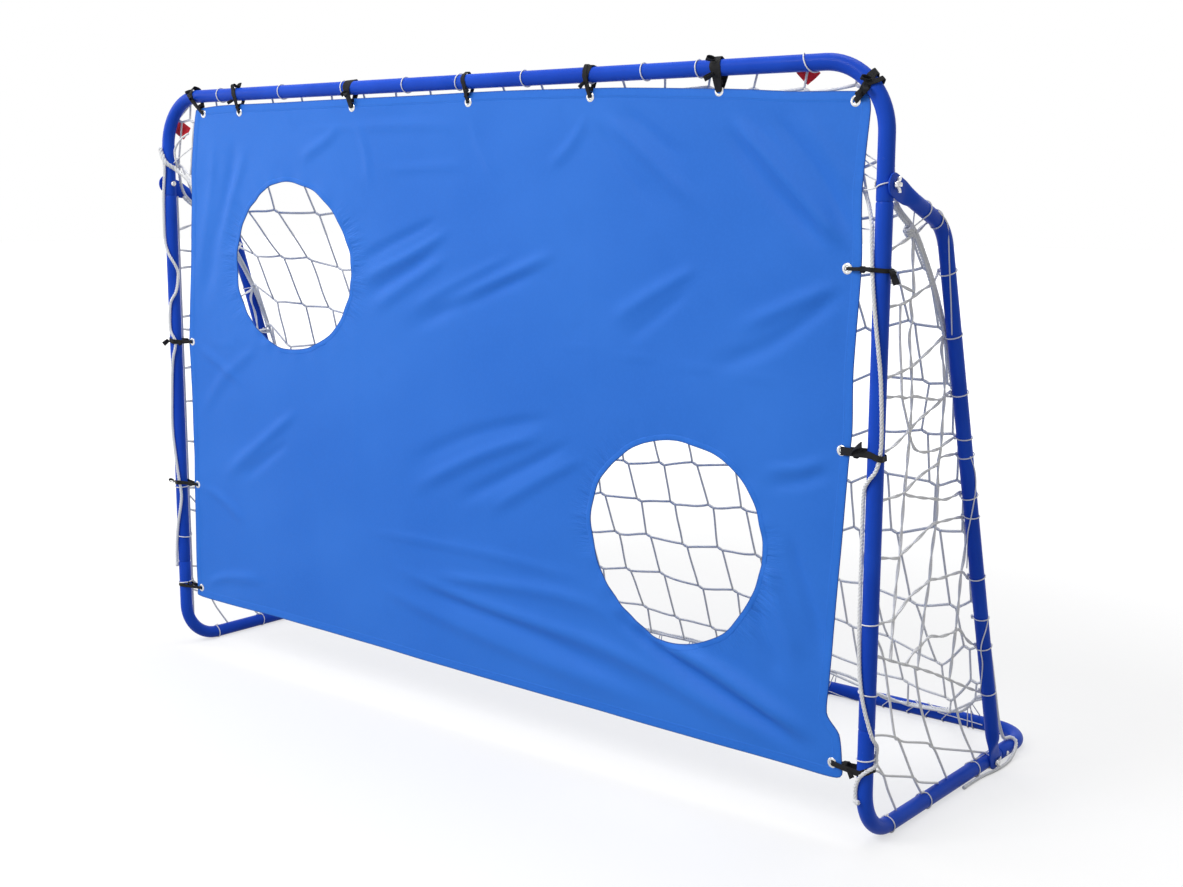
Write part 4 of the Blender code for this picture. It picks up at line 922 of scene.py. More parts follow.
def tape_tie(index, eyelet, tube):
    """One tie: the loop round the tube, its run through the ring, the knot and the bights left on it."""
    wide, skew, ear, ear_angle, at_ring, rope_angle = TIES[index]
    tube3, eyelet3 = np.array((tube[0], POST_Y, tube[1])), np.array((eyelet[0], POST_Y, eyelet[1]))
    toward = unit(eyelet3 - tube3)
    reach = np.linalg.norm(eyelet3 - tube3)
    depth = np.array((0.0, 1.0, 0.0))
    along = np.cross(toward, depth)
    around = TUBE + 0.0010
    lean = math.degrees(math.acos((around - 0.0034) / (reach - 0.0015)))
    stations = [(angle, 0.0) for angle in np.linspace(lean, 360 - lean, 41)]
    if rope_angle and rope_angle < lean:
        stations = [(rope_angle + step, ROPE_BULGE) for step in (-14, -4, 6, 14)] + stations[1:]
    loop, side, widths = [], [], []
    for angle, lift in stations:
        bulge = ear * math.exp(-((angle - ear_angle) / 17.0) ** 2) + lift
        if rope_angle and not lift:
            bulge += ROPE_BULGE * math.exp(-((angle - rope_angle) / 24.0) ** 2)
        turn = math.radians(angle)
        shift = skew * math.sin(turn - math.pi / 2)
        away = math.cos(turn) * toward - math.sin(turn) * depth
        loop.append(tube3 + (around + bulge) * away + along * shift)
        side.append(along + toward * 0.25 * math.sin(turn) * (1 if skew > 0 else -1))
        widths.append(wide * (1 - 0.18 * math.exp(-((angle - ear_angle) / 25.0) ** 2)))
    ring_side = eyelet3 - toward * 0.0013
    for share in np.linspace(0, 1, 9):
        angle = math.radians(lean * (1 - 2 * share)) * -1
        loop.append(ring_side + 0.0033 * (math.cos(angle) * toward - math.sin(angle) * depth))
        side.append(along)
        widths.append(at_ring)
    calm_side, calm_widths = calm(even_rows(side)), calm(even_rows(widths), 14)
    parts = [tape_ring(calm(even_rows(loop)), calm_side, calm_widths)]
    if index in SECOND_TURNS:
        second = [point + (point - tube3) * 0.10 - 2 * along * (along @ (point - tube3))
                  for point in loop[:-9]]
        parts.append(tape_ring(calm(even_rows(second + loop[-9:])), calm_side, calm_widths * 0.62))
    knot_at = tube3 + toward * (around + 0.42 * (reach - around)) + along * skew * 0.4
    deep = 0.0058 + 0.0030 * (1 - (np.linalg.norm(knot_at - tube3) - around) / (reach - around))
    knot, knot_side, knot_widths = [], [], []
    for a in np.linspace(0, 2 * math.pi, 26, endpoint=False):
        knot.append(knot_at + along * (0.0040 + at_ring * 0.25) * math.cos(a) + depth * deep * math.sin(a)
                    + toward * 0.0016 * math.sin(a + skew * 300))
        knot_side.append(toward + along * 0.3 * math.sin(a))
        knot_widths.append(0.0080 + 0.0015 * math.sin(2 * a))
    parts.append(tape_ring(knot, knot_side, knot_widths, 0.0018))
    for tie, distance, (sideways, onward, frontward), length, width in BIGHTS:
        if tie == index:
            clear = 0.0065 if 0 < distance else 0.0040
            over_tube = around - 0.004 if abs(distance) < around else 0.0
            start = tube3 + toward * distance - depth * (clear + over_tube)
            outward = along * sideways + toward * onward - depth * frontward
            parts.append(tape_bight(start, outward, along * onward - toward * sideways, length, width))
    points, faces, uv = merged(parts)
    name = "%02d" % (index + 1)
    piece("tape_tie_" + name, points, faces, tape, ["strap_" + name], uv=uv, sharp=60)


for index, (eyelet, tube) in enumerate(zip(EYELETS, TUBE_POINTS)):
    tape_tie(index, eyelet, tube)


# NET
# White polyethylene twine without knots: the threads run through each other at every crossing.
# The back panel slopes from the crossbar to the rear bar and is drawn in beside the stays, and a
# panel of heavier, doubled twine closes each side between the post and the stay.
NET_TOP, NET_FOOT = (0.0209, 1.480), (0.734, 0.086)
CORNER_LINE = [NET_TOP, (0.028, 1.330), (0.045, 1.235), (0.134, 1.170), (0.232, 1.043), (0.308, 0.889),
               (0.385, 0.640), (0.465, 0.400), (0.533, 0.293), (0.586, 0.150)]
NET_X, NET_HALF = 1.057, 1.0498
POST_BACK = 0.0215
BEND_X, BEND_Z, NET_BEND = POST_X - TOP_BEND, BAR_Z - TOP_BEND, 0.128
TWINE = 0.0025
DOUBLED_TWINE, TWINE_LAY = 0.0036, 0.110

twine = Finish("knotless_twine", {"Specular IOR Level": 0.3})
fibre = twine.cloud(900.0, 3.0)
soil = twine.cloud(14.0, 4.0).between(0.45, 0.8)
shade = twine.blend(fibre.between(0.3, 0.75), (0.840, 0.845, 0.850), (0.930, 0.930, 0.930))
twine.show("Base Color", twine.blend(soil * 0.30, shade, (0.640, 0.640, 0.640)))
twine.show("Roughness", 0.62 + fibre * 0.2)
twine.relief(fibre, 0.00035)


def carried(path):
    """Two directions across a path at each point, carried along without twist."""
    run = np.gradient(path, axis=0)
    run /= np.maximum(np.linalg.norm(run, axis=1), 1e-9)[:, None]
    first = np.empty_like(run)
    side = np.cross(run[0], (0.31, 0.52, 0.79))
    for k, forward in enumerate(run):
        side = side - forward * (side @ forward)
        side = side / np.linalg.norm(side)
        first[k] = side
    return first, np.cross(run, first)


def even_path(points, pitch):
    """The same line with its points at an even pitch."""
    points = np.asarray(points, float)
    lengths = lengths_along(points)
    even = np.linspace(0, lengths[-1], max(4, int(lengths[-1] / pitch)))
    return np.stack([np.interp(even, lengths, points[:, k]) for k in range(3)], -1)


class Skein:
    """Gathers many thin round strands into one mesh."""

    def __init__(self):
        self.points, self.faces, self.count = [], [], 0

    def strand(self, path, radius, sides=6):
        path = np.asarray(path, float)
        first, second = carried(path)
        radius = np.broadcast_to(radius, len(path))
        angles = np.linspace(0, 2 * math.pi, sides, endpoint=False)[None, :, None]
        round_it = np.cos(angles) * first[:, None] + np.sin(angles) * second[:, None]
        self.points.append((path[:, None] + radius[:, None, None] * round_it).reshape(-1, 3))
        self.faces += [tuple(self.count + k for k in face) for face in pipe_faces(len(path), sides)]
        self.count += len(path) * sides

    def laid(self, points, radius, strands, lay, sides=7, hug=0.5):
        """Strands twisted round a common line, one full turn in each lay."""
        steps = max(9, round(lay / 0.005))
        path = even_path(points, lay / steps)
        first, second = carried(path)
        turn = 2 * math.pi * np.arange(len(path)) / steps
        for strand in range(strands):
            angle = turn + 2 * math.pi * strand / strands
            away = np.cos(angle)[:, None] * first + np.sin(angle)[:, None] * second
            self.strand(path + hug * radius * away, 0.53 * radius, sides)

    def made(self, name, finish, slot, replaced=(), body="frame"):
        piece(name, np.concatenate(self.points), self.faces, finish, replaced, body)


corner_curve = smooth_points(CORNER_LINE, 10)
corner_lengths = lengths_along(corner_curve)


def hem_height(x):
    """The hem hangs a hand's breadth above the rear bar and is pulled down to it toward the corners."""
    sag = 0.018 * float(softly((0.95 - abs(x)) / 0.4))
    return NET_FOOT[1] - sag - 0.048 * float(softly((abs(x) - 0.58) / 0.16))


def on_back(x, share):
    """A point of the back panel, at a share of the way from the crossbar down to the hem."""
    foot = np.array((NET_FOOT[0], hem_height(x)))
    flat = np.array(NET_TOP) + (foot - NET_TOP) * share
    down = share * corner_lengths[-1]
    corner = np.array([np.interp(down, corner_lengths, corner_curve[:, k]) for k in (0, 1)])
    drawn_in = float(softly((abs(x) / NET_HALF - 0.56) / 0.34))
    laced_down = float(softly((share - 0.72) / 0.26))
    drawn_in += (float(softly((abs(x) / NET_HALF - 0.84) / 0.16)) - drawn_in) * laced_down
    back, height = flat + (corner - flat) * drawn_in
    over, up = abs(x) - BEND_X, height - BEND_Z
    outside = math.hypot(over, up) / NET_BEND
    if over > 0 and up > 0 and outside > 1:
        x, height = math.copysign(BEND_X + over / outside, x), BEND_Z + up / outside
    return np.array((x, POST_Y + back, height))


def net_thread(skein, start, end, slack, radius, draw, steps=7):
    """One side of a mesh: a length of twine between two crossings, never quite straight."""
    start, end = np.asarray(start), np.asarray(end)
    span = end - start
    length = np.linalg.norm(span)
    normal = unit(np.cross(span, (0.3, 0.5, 0.8)))
    other = unit(np.cross(span, normal))
    lift = np.array((0, 0, -1.0)) * slack * length
    wobble = (normal * draw.uniform(-1, 1) + other * draw.uniform(-1, 1)) * slack * length * 0.6
    path = [start + span * s + lift * 4 * s * (1 - s) + wobble * math.sin(2 * math.pi * s)
            for s in np.linspace(0, 1, steps)]
    skein.strand(path, radius)


# The rows as shares of the way down, where the corners pull some of them lower, and the columns.
BACK_ROWS = [0.0, 0.030, 0.115, 0.200, 0.300, 0.395, 0.480, 0.555, 0.625, 0.705, 0.790, 0.870, 0.950, 1.0]
CORNER_ROWS = {0.790: 0.820, 0.870: 0.910, 0.950: 0.975}
BACK_COLUMNS = [-NET_HALF] + [0.11 * k for k in range(-9, 10)] + [NET_HALF]
LAST_ROW, LAST_COLUMN = len(BACK_ROWS) - 1, len(BACK_COLUMNS) - 1
# Half the stretch over which two threads run through each other at a crossing.
CROSSING = np.array((0.0066, 0.0010, -0.0034))


def back_crossings(draw):
    """The places where the back panel's threads cross, uneven away from its edges."""
    crossings = {}
    for row, share in enumerate(BACK_ROWS):
        for column, x in enumerate(BACK_COLUMNS):
            loose = 0 < column < LAST_COLUMN and 0 < row < LAST_ROW
            down = CORNER_ROWS.get(share, share) if abs(x) > 0.8 else share
            if loose:
                x += draw.uniform(-0.009, 0.009)
                down += draw.uniform(-0.007, 0.007) + 0.006 * math.sin(x * 5 + row)
                midway = softly((share - 0.05) / 0.15) * softly((0.75 - share) / 0.30)
                down += 0.034 * float(softly((-0.72 - x) / 0.25) * midway)
            spot = on_back(x, down)
            if loose:
                spot[1] += draw.uniform(-0.004, 0.004)
            crossings[row, column] = spot
    return crossings


draw = random.Random(5)
skein = Skein()
crossings = back_crossings(draw)
for (row, column), spot in crossings.items():
    edge_row = row in (0, LAST_ROW)
    if column < LAST_COLUMN:
        tight = draw.uniform(0.0, 0.006) if edge_row else draw.uniform(-0.012, 0.030)
        part = CROSSING * (not edge_row)
        net_thread(skein, spot + part, crossings[row, column + 1] - part, tight, TWINE * 1.25, draw)
    if row < LAST_ROW:
        start = spot + CROSSING * (row > 0)
        end = crossings[row + 1, column] - CROSSING * (row + 1 < LAST_ROW)
        net_thread(skein, start, end, draw.uniform(-0.01, 0.02), TWINE, draw)
    if not edge_row:
        thick = TWINE * np.array((0.8, 1.35, 1.5, 1.35, 0.8))
        skein.strand([spot + CROSSING * s for s in np.linspace(-1.15, 1.15, 5)], thick, 8)
skein.made("twine_net_back", twine, "net_twine", ["net_back"])

# The side panels, as (back, height) lines: doubled threads above the low border cord, and single
# ones under it.
HEAVY_THREADS = [[(0.117, 1.172), (0.122, 1.110), (0.129, 1.064), (0.117, 1.046), (0.126, 1.013),
                  (0.118, 0.981), (0.129, 0.928), (0.137, 0.862), (0.135, 0.801), (0.131, 0.766),
                  (0.128, 0.729), (0.121, 0.681), (0.115, 0.606), (0.111, 0.557), (0.102, 0.505),
                  (0.095, 0.437), (0.089, 0.353)],
                 [(0.262, 0.972), (0.254, 0.946), (0.268, 0.904), (0.275, 0.854), (0.271, 0.799),
                  (0.269, 0.749), (0.260, 0.716), (0.263, 0.654), (0.261, 0.601), (0.248, 0.543),
                  (0.242, 0.484), (0.229, 0.433), (0.217, 0.379), (0.205, 0.305)],
                 [(0.376, 0.590), (0.398, 0.555), (0.396, 0.503), (0.385, 0.469), (0.379, 0.405),
                  (0.372, 0.357), (0.352, 0.249)],
                 [(POST_BACK, 1.142), (0.049, 1.150), (0.090, 1.162), (0.123, 1.172), (0.165, 1.190),
                  (0.192, 1.201)], [(POST_BACK, 1.088), (0.054, 1.084), (0.073, 1.080), (0.129, 1.064)],
                 [(POST_BACK, 1.040), (0.049, 1.042), (0.076, 1.043), (0.109, 1.049), (0.164, 1.066),
                  (0.206, 1.077), (0.228, 1.100)],
                 [(POST_BACK, 0.909), (0.046, 0.911), (0.105, 0.918), (0.140, 0.925), (0.216, 0.953),
                  (0.262, 0.972)],
                 [(POST_BACK, 0.876), (0.051, 0.872), (0.085, 0.870), (0.112, 0.864), (0.147, 0.864),
                  (0.200, 0.854), (0.258, 0.846), (0.275, 0.852)],
                 [(POST_BACK, 0.770), (0.056, 0.773), (0.088, 0.783), (0.134, 0.801), (0.164, 0.814),
                  (0.203, 0.826), (0.250, 0.840), (0.275, 0.852), (0.302, 0.857)],
                 [(0.136, 0.788), (0.157, 0.761), (0.198, 0.749), (0.258, 0.748), (0.287, 0.755),
                  (0.330, 0.763)],
                 [(POST_BACK, 0.679), (0.090, 0.678), (0.121, 0.681), (0.157, 0.695), (0.202, 0.708),
                  (0.254, 0.717), (0.271, 0.729), (0.340, 0.727)],
                 [(0.121, 0.681), (0.138, 0.672), (0.203, 0.657), (0.240, 0.650), (0.293, 0.640),
                  (0.340, 0.641), (0.362, 0.645)],
                 [(POST_BACK, 0.570), (0.100, 0.555), (0.116, 0.559), (0.172, 0.574), (0.241, 0.596),
                  (0.265, 0.597), (0.330, 0.594), (0.375, 0.591)],
                 [(POST_BACK, 0.440), (0.089, 0.434), (0.113, 0.442), (0.161, 0.466), (0.225, 0.478),
                  (0.245, 0.484), (0.285, 0.478), (0.340, 0.476), (0.389, 0.472), (0.414, 0.455)],
                 [(0.153, 0.328), (0.183, 0.346), (0.216, 0.354), (0.255, 0.364), (0.303, 0.353),
                  (0.359, 0.349), (0.387, 0.349), (0.426, 0.319), (0.460, 0.300)],
                 [(POST_BACK, 0.380), (0.095, 0.351), (0.268, 0.285), (0.487, 0.190)]]
FINE_THREADS = [[(0.078, 1.044), (0.080, 0.985), (0.091, 0.916), (0.098, 0.868), (0.116, 0.830),
                 (0.131, 0.798), (0.134, 0.762)],
                [(POST_BACK, 0.420), (0.057, 0.373), (0.087, 0.288), (0.119, 0.192), (0.140, 0.174),
                 (0.205, 0.081), (0.245, 0.034)],
                [(0.194, 0.312), (0.210, 0.263), (0.234, 0.208), (0.281, 0.130), (0.304, 0.104),
                 (0.357, 0.034)],
                [(0.362, 0.243), (0.389, 0.181), (0.423, 0.121), (0.474, 0.058), (0.495, 0.034)],
                [(POST_BACK, 0.180), (0.074, 0.128), (0.099, 0.086), (0.135, 0.034)],
                [(POST_BACK, 0.220), (0.075, 0.206), (0.125, 0.187), (0.159, 0.169), (0.261, 0.137),
                 (0.296, 0.117), (0.474, 0.058), (0.545, 0.034)],
                [(POST_BACK, 0.153), (0.061, 0.135), (0.087, 0.120), (0.198, 0.083), (0.233, 0.062),
                 (0.318, 0.034)],
                [(POST_BACK, 1.230), (POST_BACK, 0.900), (POST_BACK, 0.500), (POST_BACK, 0.034)]]


def led_to_corner(line):
    """A thread that stops beside the stay goes on to the corner rope."""
    back, height = line[-1]
    edge = float(np.interp(-height, -corner_curve[:, 1], corner_curve[:, 0]))
    if 0.25 < back < edge - 0.004 and edge - back < 0.10:
        return line + [((back + edge) / 2, height - 0.004), (edge, height - 0.002)]
    return line


def hung(line, sign):
    """A side panel's thread, smooth through its points."""
    return smooth_points([(sign * NET_X, POST_Y + back, height) for back, height in led_to_corner(line)], 8)


for side, sign in SIDES.items():
    skein = Skein()
    for line in HEAVY_THREADS:
        skein.laid(hung(line, sign), DOUBLED_TWINE, 2, TWINE_LAY, 7, 0.42)
    for line in FINE_THREADS:
        skein.strand(hung(line, sign), TWINE)
    skein.made("twine_net_side_" + side, twine, "net_twine", ["net_side_" + side])


# EDGE ROPES
# Three-strand laid rope that borders the net. One winds down each post, one runs down each corner
# of the net beside the stay, doubled and knotted at its head, and one runs along the hem.
ROPE = 0.0040
LAY = 0.022

rope_fibre = Finish("laid_rope", {"Specular IOR Level": 0.3, "Sheen Weight": 0.2})
hair = rope_fibre.cloud(1100.0, 3.0)
grime = rope_fibre.cloud(11.0, 5.0).between(0.5, 0.85)
pale = rope_fibre.blend(hair.between(0.25, 0.7), (0.780, 0.790, 0.810), (0.900, 0.905, 0.910))
rope_fibre.show("Base Color", rope_fibre.blend(grime * 0.35, pale, (0.620, 0.615, 0.600)))
rope_fibre.show("Roughness", 0.70 + hair * 0.15)
rope_fibre.relief(hair, 0.0004)


def rope(skein, points):
    """Three twisted strands, whipped with thin twine at both ends."""
    path = even_path(points, LAY / 9)
    skein.laid(points, ROPE, 3, LAY)
    for end, inner in ((path[0], path[4]), (path[-1], path[-5])):
        run = unit(end - inner)
        ring = [end - run * step for step in (0.012, 0.0115, 0.001, 0.0)]
        skein.strand(ring, ROPE * np.array((0.90, 1.10, 1.10, 0.80)), 10)


# Where each post's rope winds: height and degrees round the post from its outer side toward the pitch.
POST_ROUTES = {"right": [(1.190, 152), (1.139, 133), (1.030, 92), (0.930, 56), (0.860, 42), (0.800, 36),
                         (0.765, 43), (0.741, 62), (0.722, 100), (0.700, 136), (0.660, 150), (0.600, 152),
                         (0.521, 150), (0.450, 140), (0.360, 118), (0.300, 88), (0.250, 50), (0.225, 24),
                         (0.205, -20), (0.185, -44), (0.172, -18), (0.165, 40), (0.154, 80), (0.140, 104),
                         (0.124, 117), (0.108, 118), (0.096, 106), (0.098, 90)],
               "left": [(1.339, 100), (1.298, 108), (1.218, 84), (1.127, 78), (1.085, 108), (1.050, 158),
                        (1.027, 180), (0.981, 160), (0.945, 112), (0.880, 102), (0.843, 140), (0.790, 112),
                        (0.700, 92), (0.620, 80), (0.550, 100), (0.480, 122), (0.420, 138), (0.340, 100),
                        (0.270, 70), (0.225, 60)]}
ROPE_HEADS = {"right": [(1.010, 0.010, 1.258), (1.022, 0.009, 1.228)], "left": []}
# The thick rope across the left post, and where a corner rope leaves the net: over the rear bar's
# corner, round the stay's foot and forward over the floor. All as (across, back, height).
ACROSS_POST = [(1.0640, -0.0220, 1.356), (1.0570, -0.0226, 1.336), (1.0450, -0.0180, 1.316),
               (1.0330, 0.0020, 1.300), (1.0050, 0.0110, 1.280), (0.9700, 0.0140, 1.252)]
ROPE_TAIL = [(NET_X, 0.606, 0.093), (NET_X, 0.630, 0.052), (NET_X, 0.646, 0.0380),
             (1.0610, 0.665, 0.0374), (1.0740, 0.668, 0.0315), (1.0815, 0.650, 0.0180),
             (1.0870, 0.612, 0.0060), (1.0895, 0.566, 0.0044), (1.0865, 0.522, 0.0044),
             (1.0805, 0.470, 0.0052), (1.0800, 0.395, 0.0052)]
ROPE_KNOT = (0.1010, 1.1790)
HEM_HALF = 1.0505


def on_side(points, sign):
    """The (across, back, height) points on one side of the goal."""
    return [(sign * across, POST_Y + back, height) for across, back, height in points]


def rope_knot(sign):
    """Three tight turns of rope round the doubled head of a corner rope."""
    middle, run = np.array((sign * NET_X, POST_Y + ROPE_KNOT[0], ROPE_KNOT[1])), unit((0, 0.75, -0.66))
    out, across = np.cross(run, (1.0, 0, 0)), np.array((sign * 0.75, 0, 0))
    knot = []
    for a in np.linspace(0, 6 * math.pi, 64):
        round_it = math.cos(a) * out + math.sin(a) * across
        knot.append(middle + run * 0.00945 * (a / 3 / math.pi - 1) + 0.0088 * round_it)
    return knot


for side, sign in SIDES.items():
    route = on_side(ROPE_HEADS[side], sign)
    away = TUBE + ROPE + 0.0007
    for height, degrees in smooth_points(POST_ROUTES[side], 10):
        angle = math.radians(degrees)
        route.append((sign * (POST_X + away * math.cos(angle)), POST_Y - away * math.sin(angle), height))
    skein = Skein()
    rope(skein, smooth_points(route, 2))
    if side == "left":
        skein.laid(smooth_points(on_side(ACROSS_POST, sign), 8), ROPE * 1.5, 3, LAY * 1.4)
    skein.made("laid_post_rope_" + side, rope_fibre, "edge_rope", ["post_rope_" + side])
    down_net = [(NET_X, back, height) for back, height in corner_curve if back > 0.0275]
    doubled = [(NET_X - 0.001, back - 0.0050, height - 0.0052)
               for back, height in corner_curve if 0.860 < height < 1.240]
    skein = Skein()
    rope(skein, smooth_points(on_side(down_net + ROPE_TAIL, sign), 2))
    rope(skein, smooth_points(on_side(doubled, sign), 2))
    skein.laid(rope_knot(sign), ROPE * 0.9, 3, LAY)
    skein.made("laid_corner_rope_" + side, rope_fibre, "edge_rope", ["corner_rope_" + side])
skein = Skein()
rope(skein, [on_back(x, 1.0) + (0, 0.004, 0.0040 - 0.0022 * math.sin(x * 29) ** 2)
             for x in np.linspace(-HEM_HALF, HEM_HALF, 90)])
skein.made("laid_hem_rope", rope_fibre, "edge_rope", ["hem_rope"])


# LACING
# Thin white twine that ties the net's edges to the frame. Each hitch goes once round a bar, and
# the twine runs on to the next one along the bar or the net's edge.
LACE = 0.0013


def hitch(skein, middle, run, radius, hold, slant):
    """One turn of twine round a bar, from the net's edge and back to it."""
    middle, run, hold = np.array(middle, float), unit(run), np.array(hold, float)
    toward = hold - middle
    toward -= run * (toward @ run)
    away = np.linalg.norm(toward)
    toward = toward / away
    other = np.cross(run, toward)
    out = radius + LACE + 0.0004
    lean = math.acos(min(0.94, out / away))
    turn = []
    for a in np.linspace(lean, 2 * math.pi - lean, 21):
        place = middle + out * (math.cos(a) * toward + math.sin(a) * other)
        x, y, z = place + run * slant * (a / (2 * math.pi) - 0.5)
        turn.append(np.array((x, y, max(z, LACE))))
    first, last = hold - run * 0.002, hold + run * 0.002
    lead = [first + (turn[0] - first) * share for share in (0.0, 0.5, 0.85, 0.95)]
    tail = [last + (turn[-1] - last) * share for share in (0.95, 0.85, 0.5, 0.0)]
    skein.strand(smooth_points(lead + turn + tail, 2), LACE, 6)
    thick = LACE * np.array((0.9, 1.9, 2.1, 1.9, 0.9))
    skein.strand([hold + run * step for step in (-0.005, -0.0035, 0, 0.0035, 0.005)], thick, 8)


def strung(skein, points, sign=1, radius=LACE):
    """Twine led through the given (across, back, height) points."""
    skein.strand(smooth_points(on_side(points, sign), 6), radius, 6)


lacing = Finish("white_lacing", {"Specular IOR Level": 0.35})
nap = lacing.cloud(1300.0, 2.0)
lacing.show("Base Color", lacing.blend(nap, (0.820, 0.825, 0.835), (0.910, 0.915, 0.920)))
lacing.show("Roughness", 0.6 + nap * 0.2)
lacing.relief(nap, 0.0003)

# Hitches as (place along the bar, slant): on the crossbar, the rear bar, both posts and side bars.
TOP_HITCHES = [(-0.828, 0.012), (-0.591, 0.008), (-0.365, 0.014), (-0.161, 0.008), (0.007, -0.010),
               (0.198, 0.012), (0.375, 0.009), (0.516, 0.013), (0.649, 0.010), (0.893, 0.046)]
REAR_HITCHES = [(0.540, 0.010), (0.640, -0.012), (0.693, 0.002), (0.765, 0.020), (0.806, -0.006),
                (0.853, 0.004), (0.917, 0.003), (0.932, 0.012), (0.440, 0.012), (0.330, -0.010),
                (0.215, 0.008), (0.100, 0.014), (0.0, -0.006)]
POST_HITCHES = [(0.447, 0.004), (0.311, -0.012), (0.180, 0.008)]
SIDE_HITCHES = [(0.098, 0.006), (0.252, -0.010), (0.478, -0.012), (0.545, 0.006)]
BORDER_HEIGHT = 0.0345
# Threads that hold the net's top corner to the right post, as (height, drop), and loose runs of
# twine: over the rear bar, round the right post's head and across the left one.
CORNER_HOLDS = [(1.322, 0.019), (1.311, 0.022), (1.285, 0.016), (1.184, 0.003)]
REAR_RUNS = [[(0.840, 0.7515, 0.024), (0.870, 0.7510, 0.022), (0.910, 0.7506, 0.0205),
              (0.955, 0.7503, 0.018)],
             [(0.500, 0.7525, 0.008), (0.540, 0.7508, 0.0125), (0.580, 0.7535, 0.0065),
              (0.619, 0.7610, 0.0010)]]
ROUND_RIGHT_POST = [(1.006, 0.008, 1.251), (1.015, 0.002, 1.253), (1.0435, -0.0125, 1.256),
                    (1.057, -0.0182, 1.262), (1.070, -0.0143, 1.266), (1.0775, -0.004, 1.2680),
                    (1.0800, 0.0010, 1.2690)]
ACROSS_LEFT_POST = [([(0.940, 0.012, 1.372), (0.990, 0.006, 1.345), (1.0425, 0.004, 1.318),
                      (1.052, 0.018, 1.312)], 0.0016),
                    ([(0.985, 0.010, 1.392), (1.010, 0.004, 1.378), (1.0400, 0.006, 1.350),
                      (1.0420, 0.010, 1.318), (1.050, 0.020, 1.305)], 0.0030)]

skein = Skein()
for x, slant in TOP_HITCHES:
    hitch(skein, (x, POST_Y, BAR_Z), (1, 0, 0), TUBE, (x, POST_Y + NET_TOP[0] + 0.0022, NET_TOP[1]), slant)
for x, slant in REAR_HITCHES:
    for sign in (-1, 1) if x else (1,):
        hold = on_back(sign * (x + 0.03), 1.0) + (0, 0.004, 0.004)
        hitch(skein, (sign * x, REAR_Y, FLOOR_Z), (1, 0, 0), TUBE, hold, slant)
for sign in (-1, 1):
    for height, slant in POST_HITCHES:
        hold = (sign * NET_X, POST_Y + POST_BACK + 0.002, height)
        hitch(skein, (sign * POST_X, POST_Y, height), (0, 0, 1), TUBE, hold, slant)
    for back, slant in SIDE_HITCHES:
        hold = (sign * NET_X, POST_Y + back, BORDER_HEIGHT)
        hitch(skein, (sign * POST_X, POST_Y + back, FLOOR_Z), (0, 1, 0), TUBE - 0.0002, hold, slant)
    for run in REAR_RUNS:
        strung(skein, run, sign)
for height, drop in CORNER_HOLDS:
    low = height - drop
    strung(skein, [(1.006, 0.010, height), (1.022, 0.007, height - drop * 0.5), (1.0400, 0.009, low),
                   (1.0440, 0.0150, low - 0.002), (1.0570, 0.0235, low - 0.004)])
strung(skein, ROUND_RIGHT_POST)
for run, radius in ACROSS_LEFT_POST:
    strung(skein, run, -1, radius)
skein.made("frame_lacing", lacing, "net_twine")

# On a stay: hitches below its bend as (back, height, slant), hitches above it as (back, how far
# below the tube they are held, slant), and the twine's runs between them.
STAY_HITCHES = [(0.228, 1.100, 0.014), (0.264, 0.975, 0.010), (0.302, 0.857, 0.006), (0.330, 0.763, -0.008),
                (0.341, 0.727, 0.006), (0.366, 0.640, 0.010), (0.379, 0.594, -0.014), (0.419, 0.460, 0.006),
                (0.448, 0.365, -0.010), (0.468, 0.299, 0.008), (0.500, 0.190, 0.002)]
HIGH_STAY_HITCHES = [(0.115, 0.032, 0.006), (0.165, 0.0, 0.030)]
STAY_RUNS = [[(1.0900, 0.150, 1.2145), (1.0938, 0.178, 1.1960), (1.0900, 0.1960, 1.1700),
              (1.0880, 0.2110, 1.1050), (1.0840, 0.2330, 1.0300), (1.0800, 0.2490, 0.9760)],
             [(1.0900, 0.3330, 0.727), (1.0938, 0.3510, 0.693), (1.0930, 0.3590, 0.655),
              (1.0870, 0.3605, 0.609), (1.0730, 0.3740, 0.556), (1.0630, 0.3980, 0.507),
              (1.0590, 0.4070, 0.477)],
             [(1.0925, 0.4500, 0.369), (1.0910, 0.4450, 0.344), (1.0820, 0.4470, 0.312),
              (1.0780, 0.4530, 0.290), (1.0790, 0.4620, 0.257), (1.0640, 0.4900, 0.190)]]
HIGH_RUN = (0, STAY_BEND[0] - PIVOT[0], STAY_BEND[1] - PIVOT[1])
LOW_RUN = (0, STAY_FOOT[0] - STAY_BEND[0], STAY_FOOT[1] - STAY_BEND[1])
for side, sign in SIDES.items():
    skein = Skein()
    x, hold_x = sign * STAY_X, sign * (NET_X + 0.0014)
    for back, height, slant in STAY_HITCHES:
        hold = (hold_x, POST_Y + back - 0.004, height)
        hitch(skein, (x, POST_Y + back, height), LOW_RUN, STAY, hold, slant)
    for back, drop, slant in HIGH_STAY_HITCHES:
        height = PIVOT[1] + HIGH_RUN[2] * back / HIGH_RUN[1]
        hold = (hold_x, POST_Y + back, height - drop)
        hitch(skein, (x, POST_Y + back, height), HIGH_RUN, STAY, hold, slant)
    for run in STAY_RUNS:
        strung(skein, run, sign)
    skein.made("stay_lacing_" + side, lacing, "net_twine", body="stay_%s_body" % side)


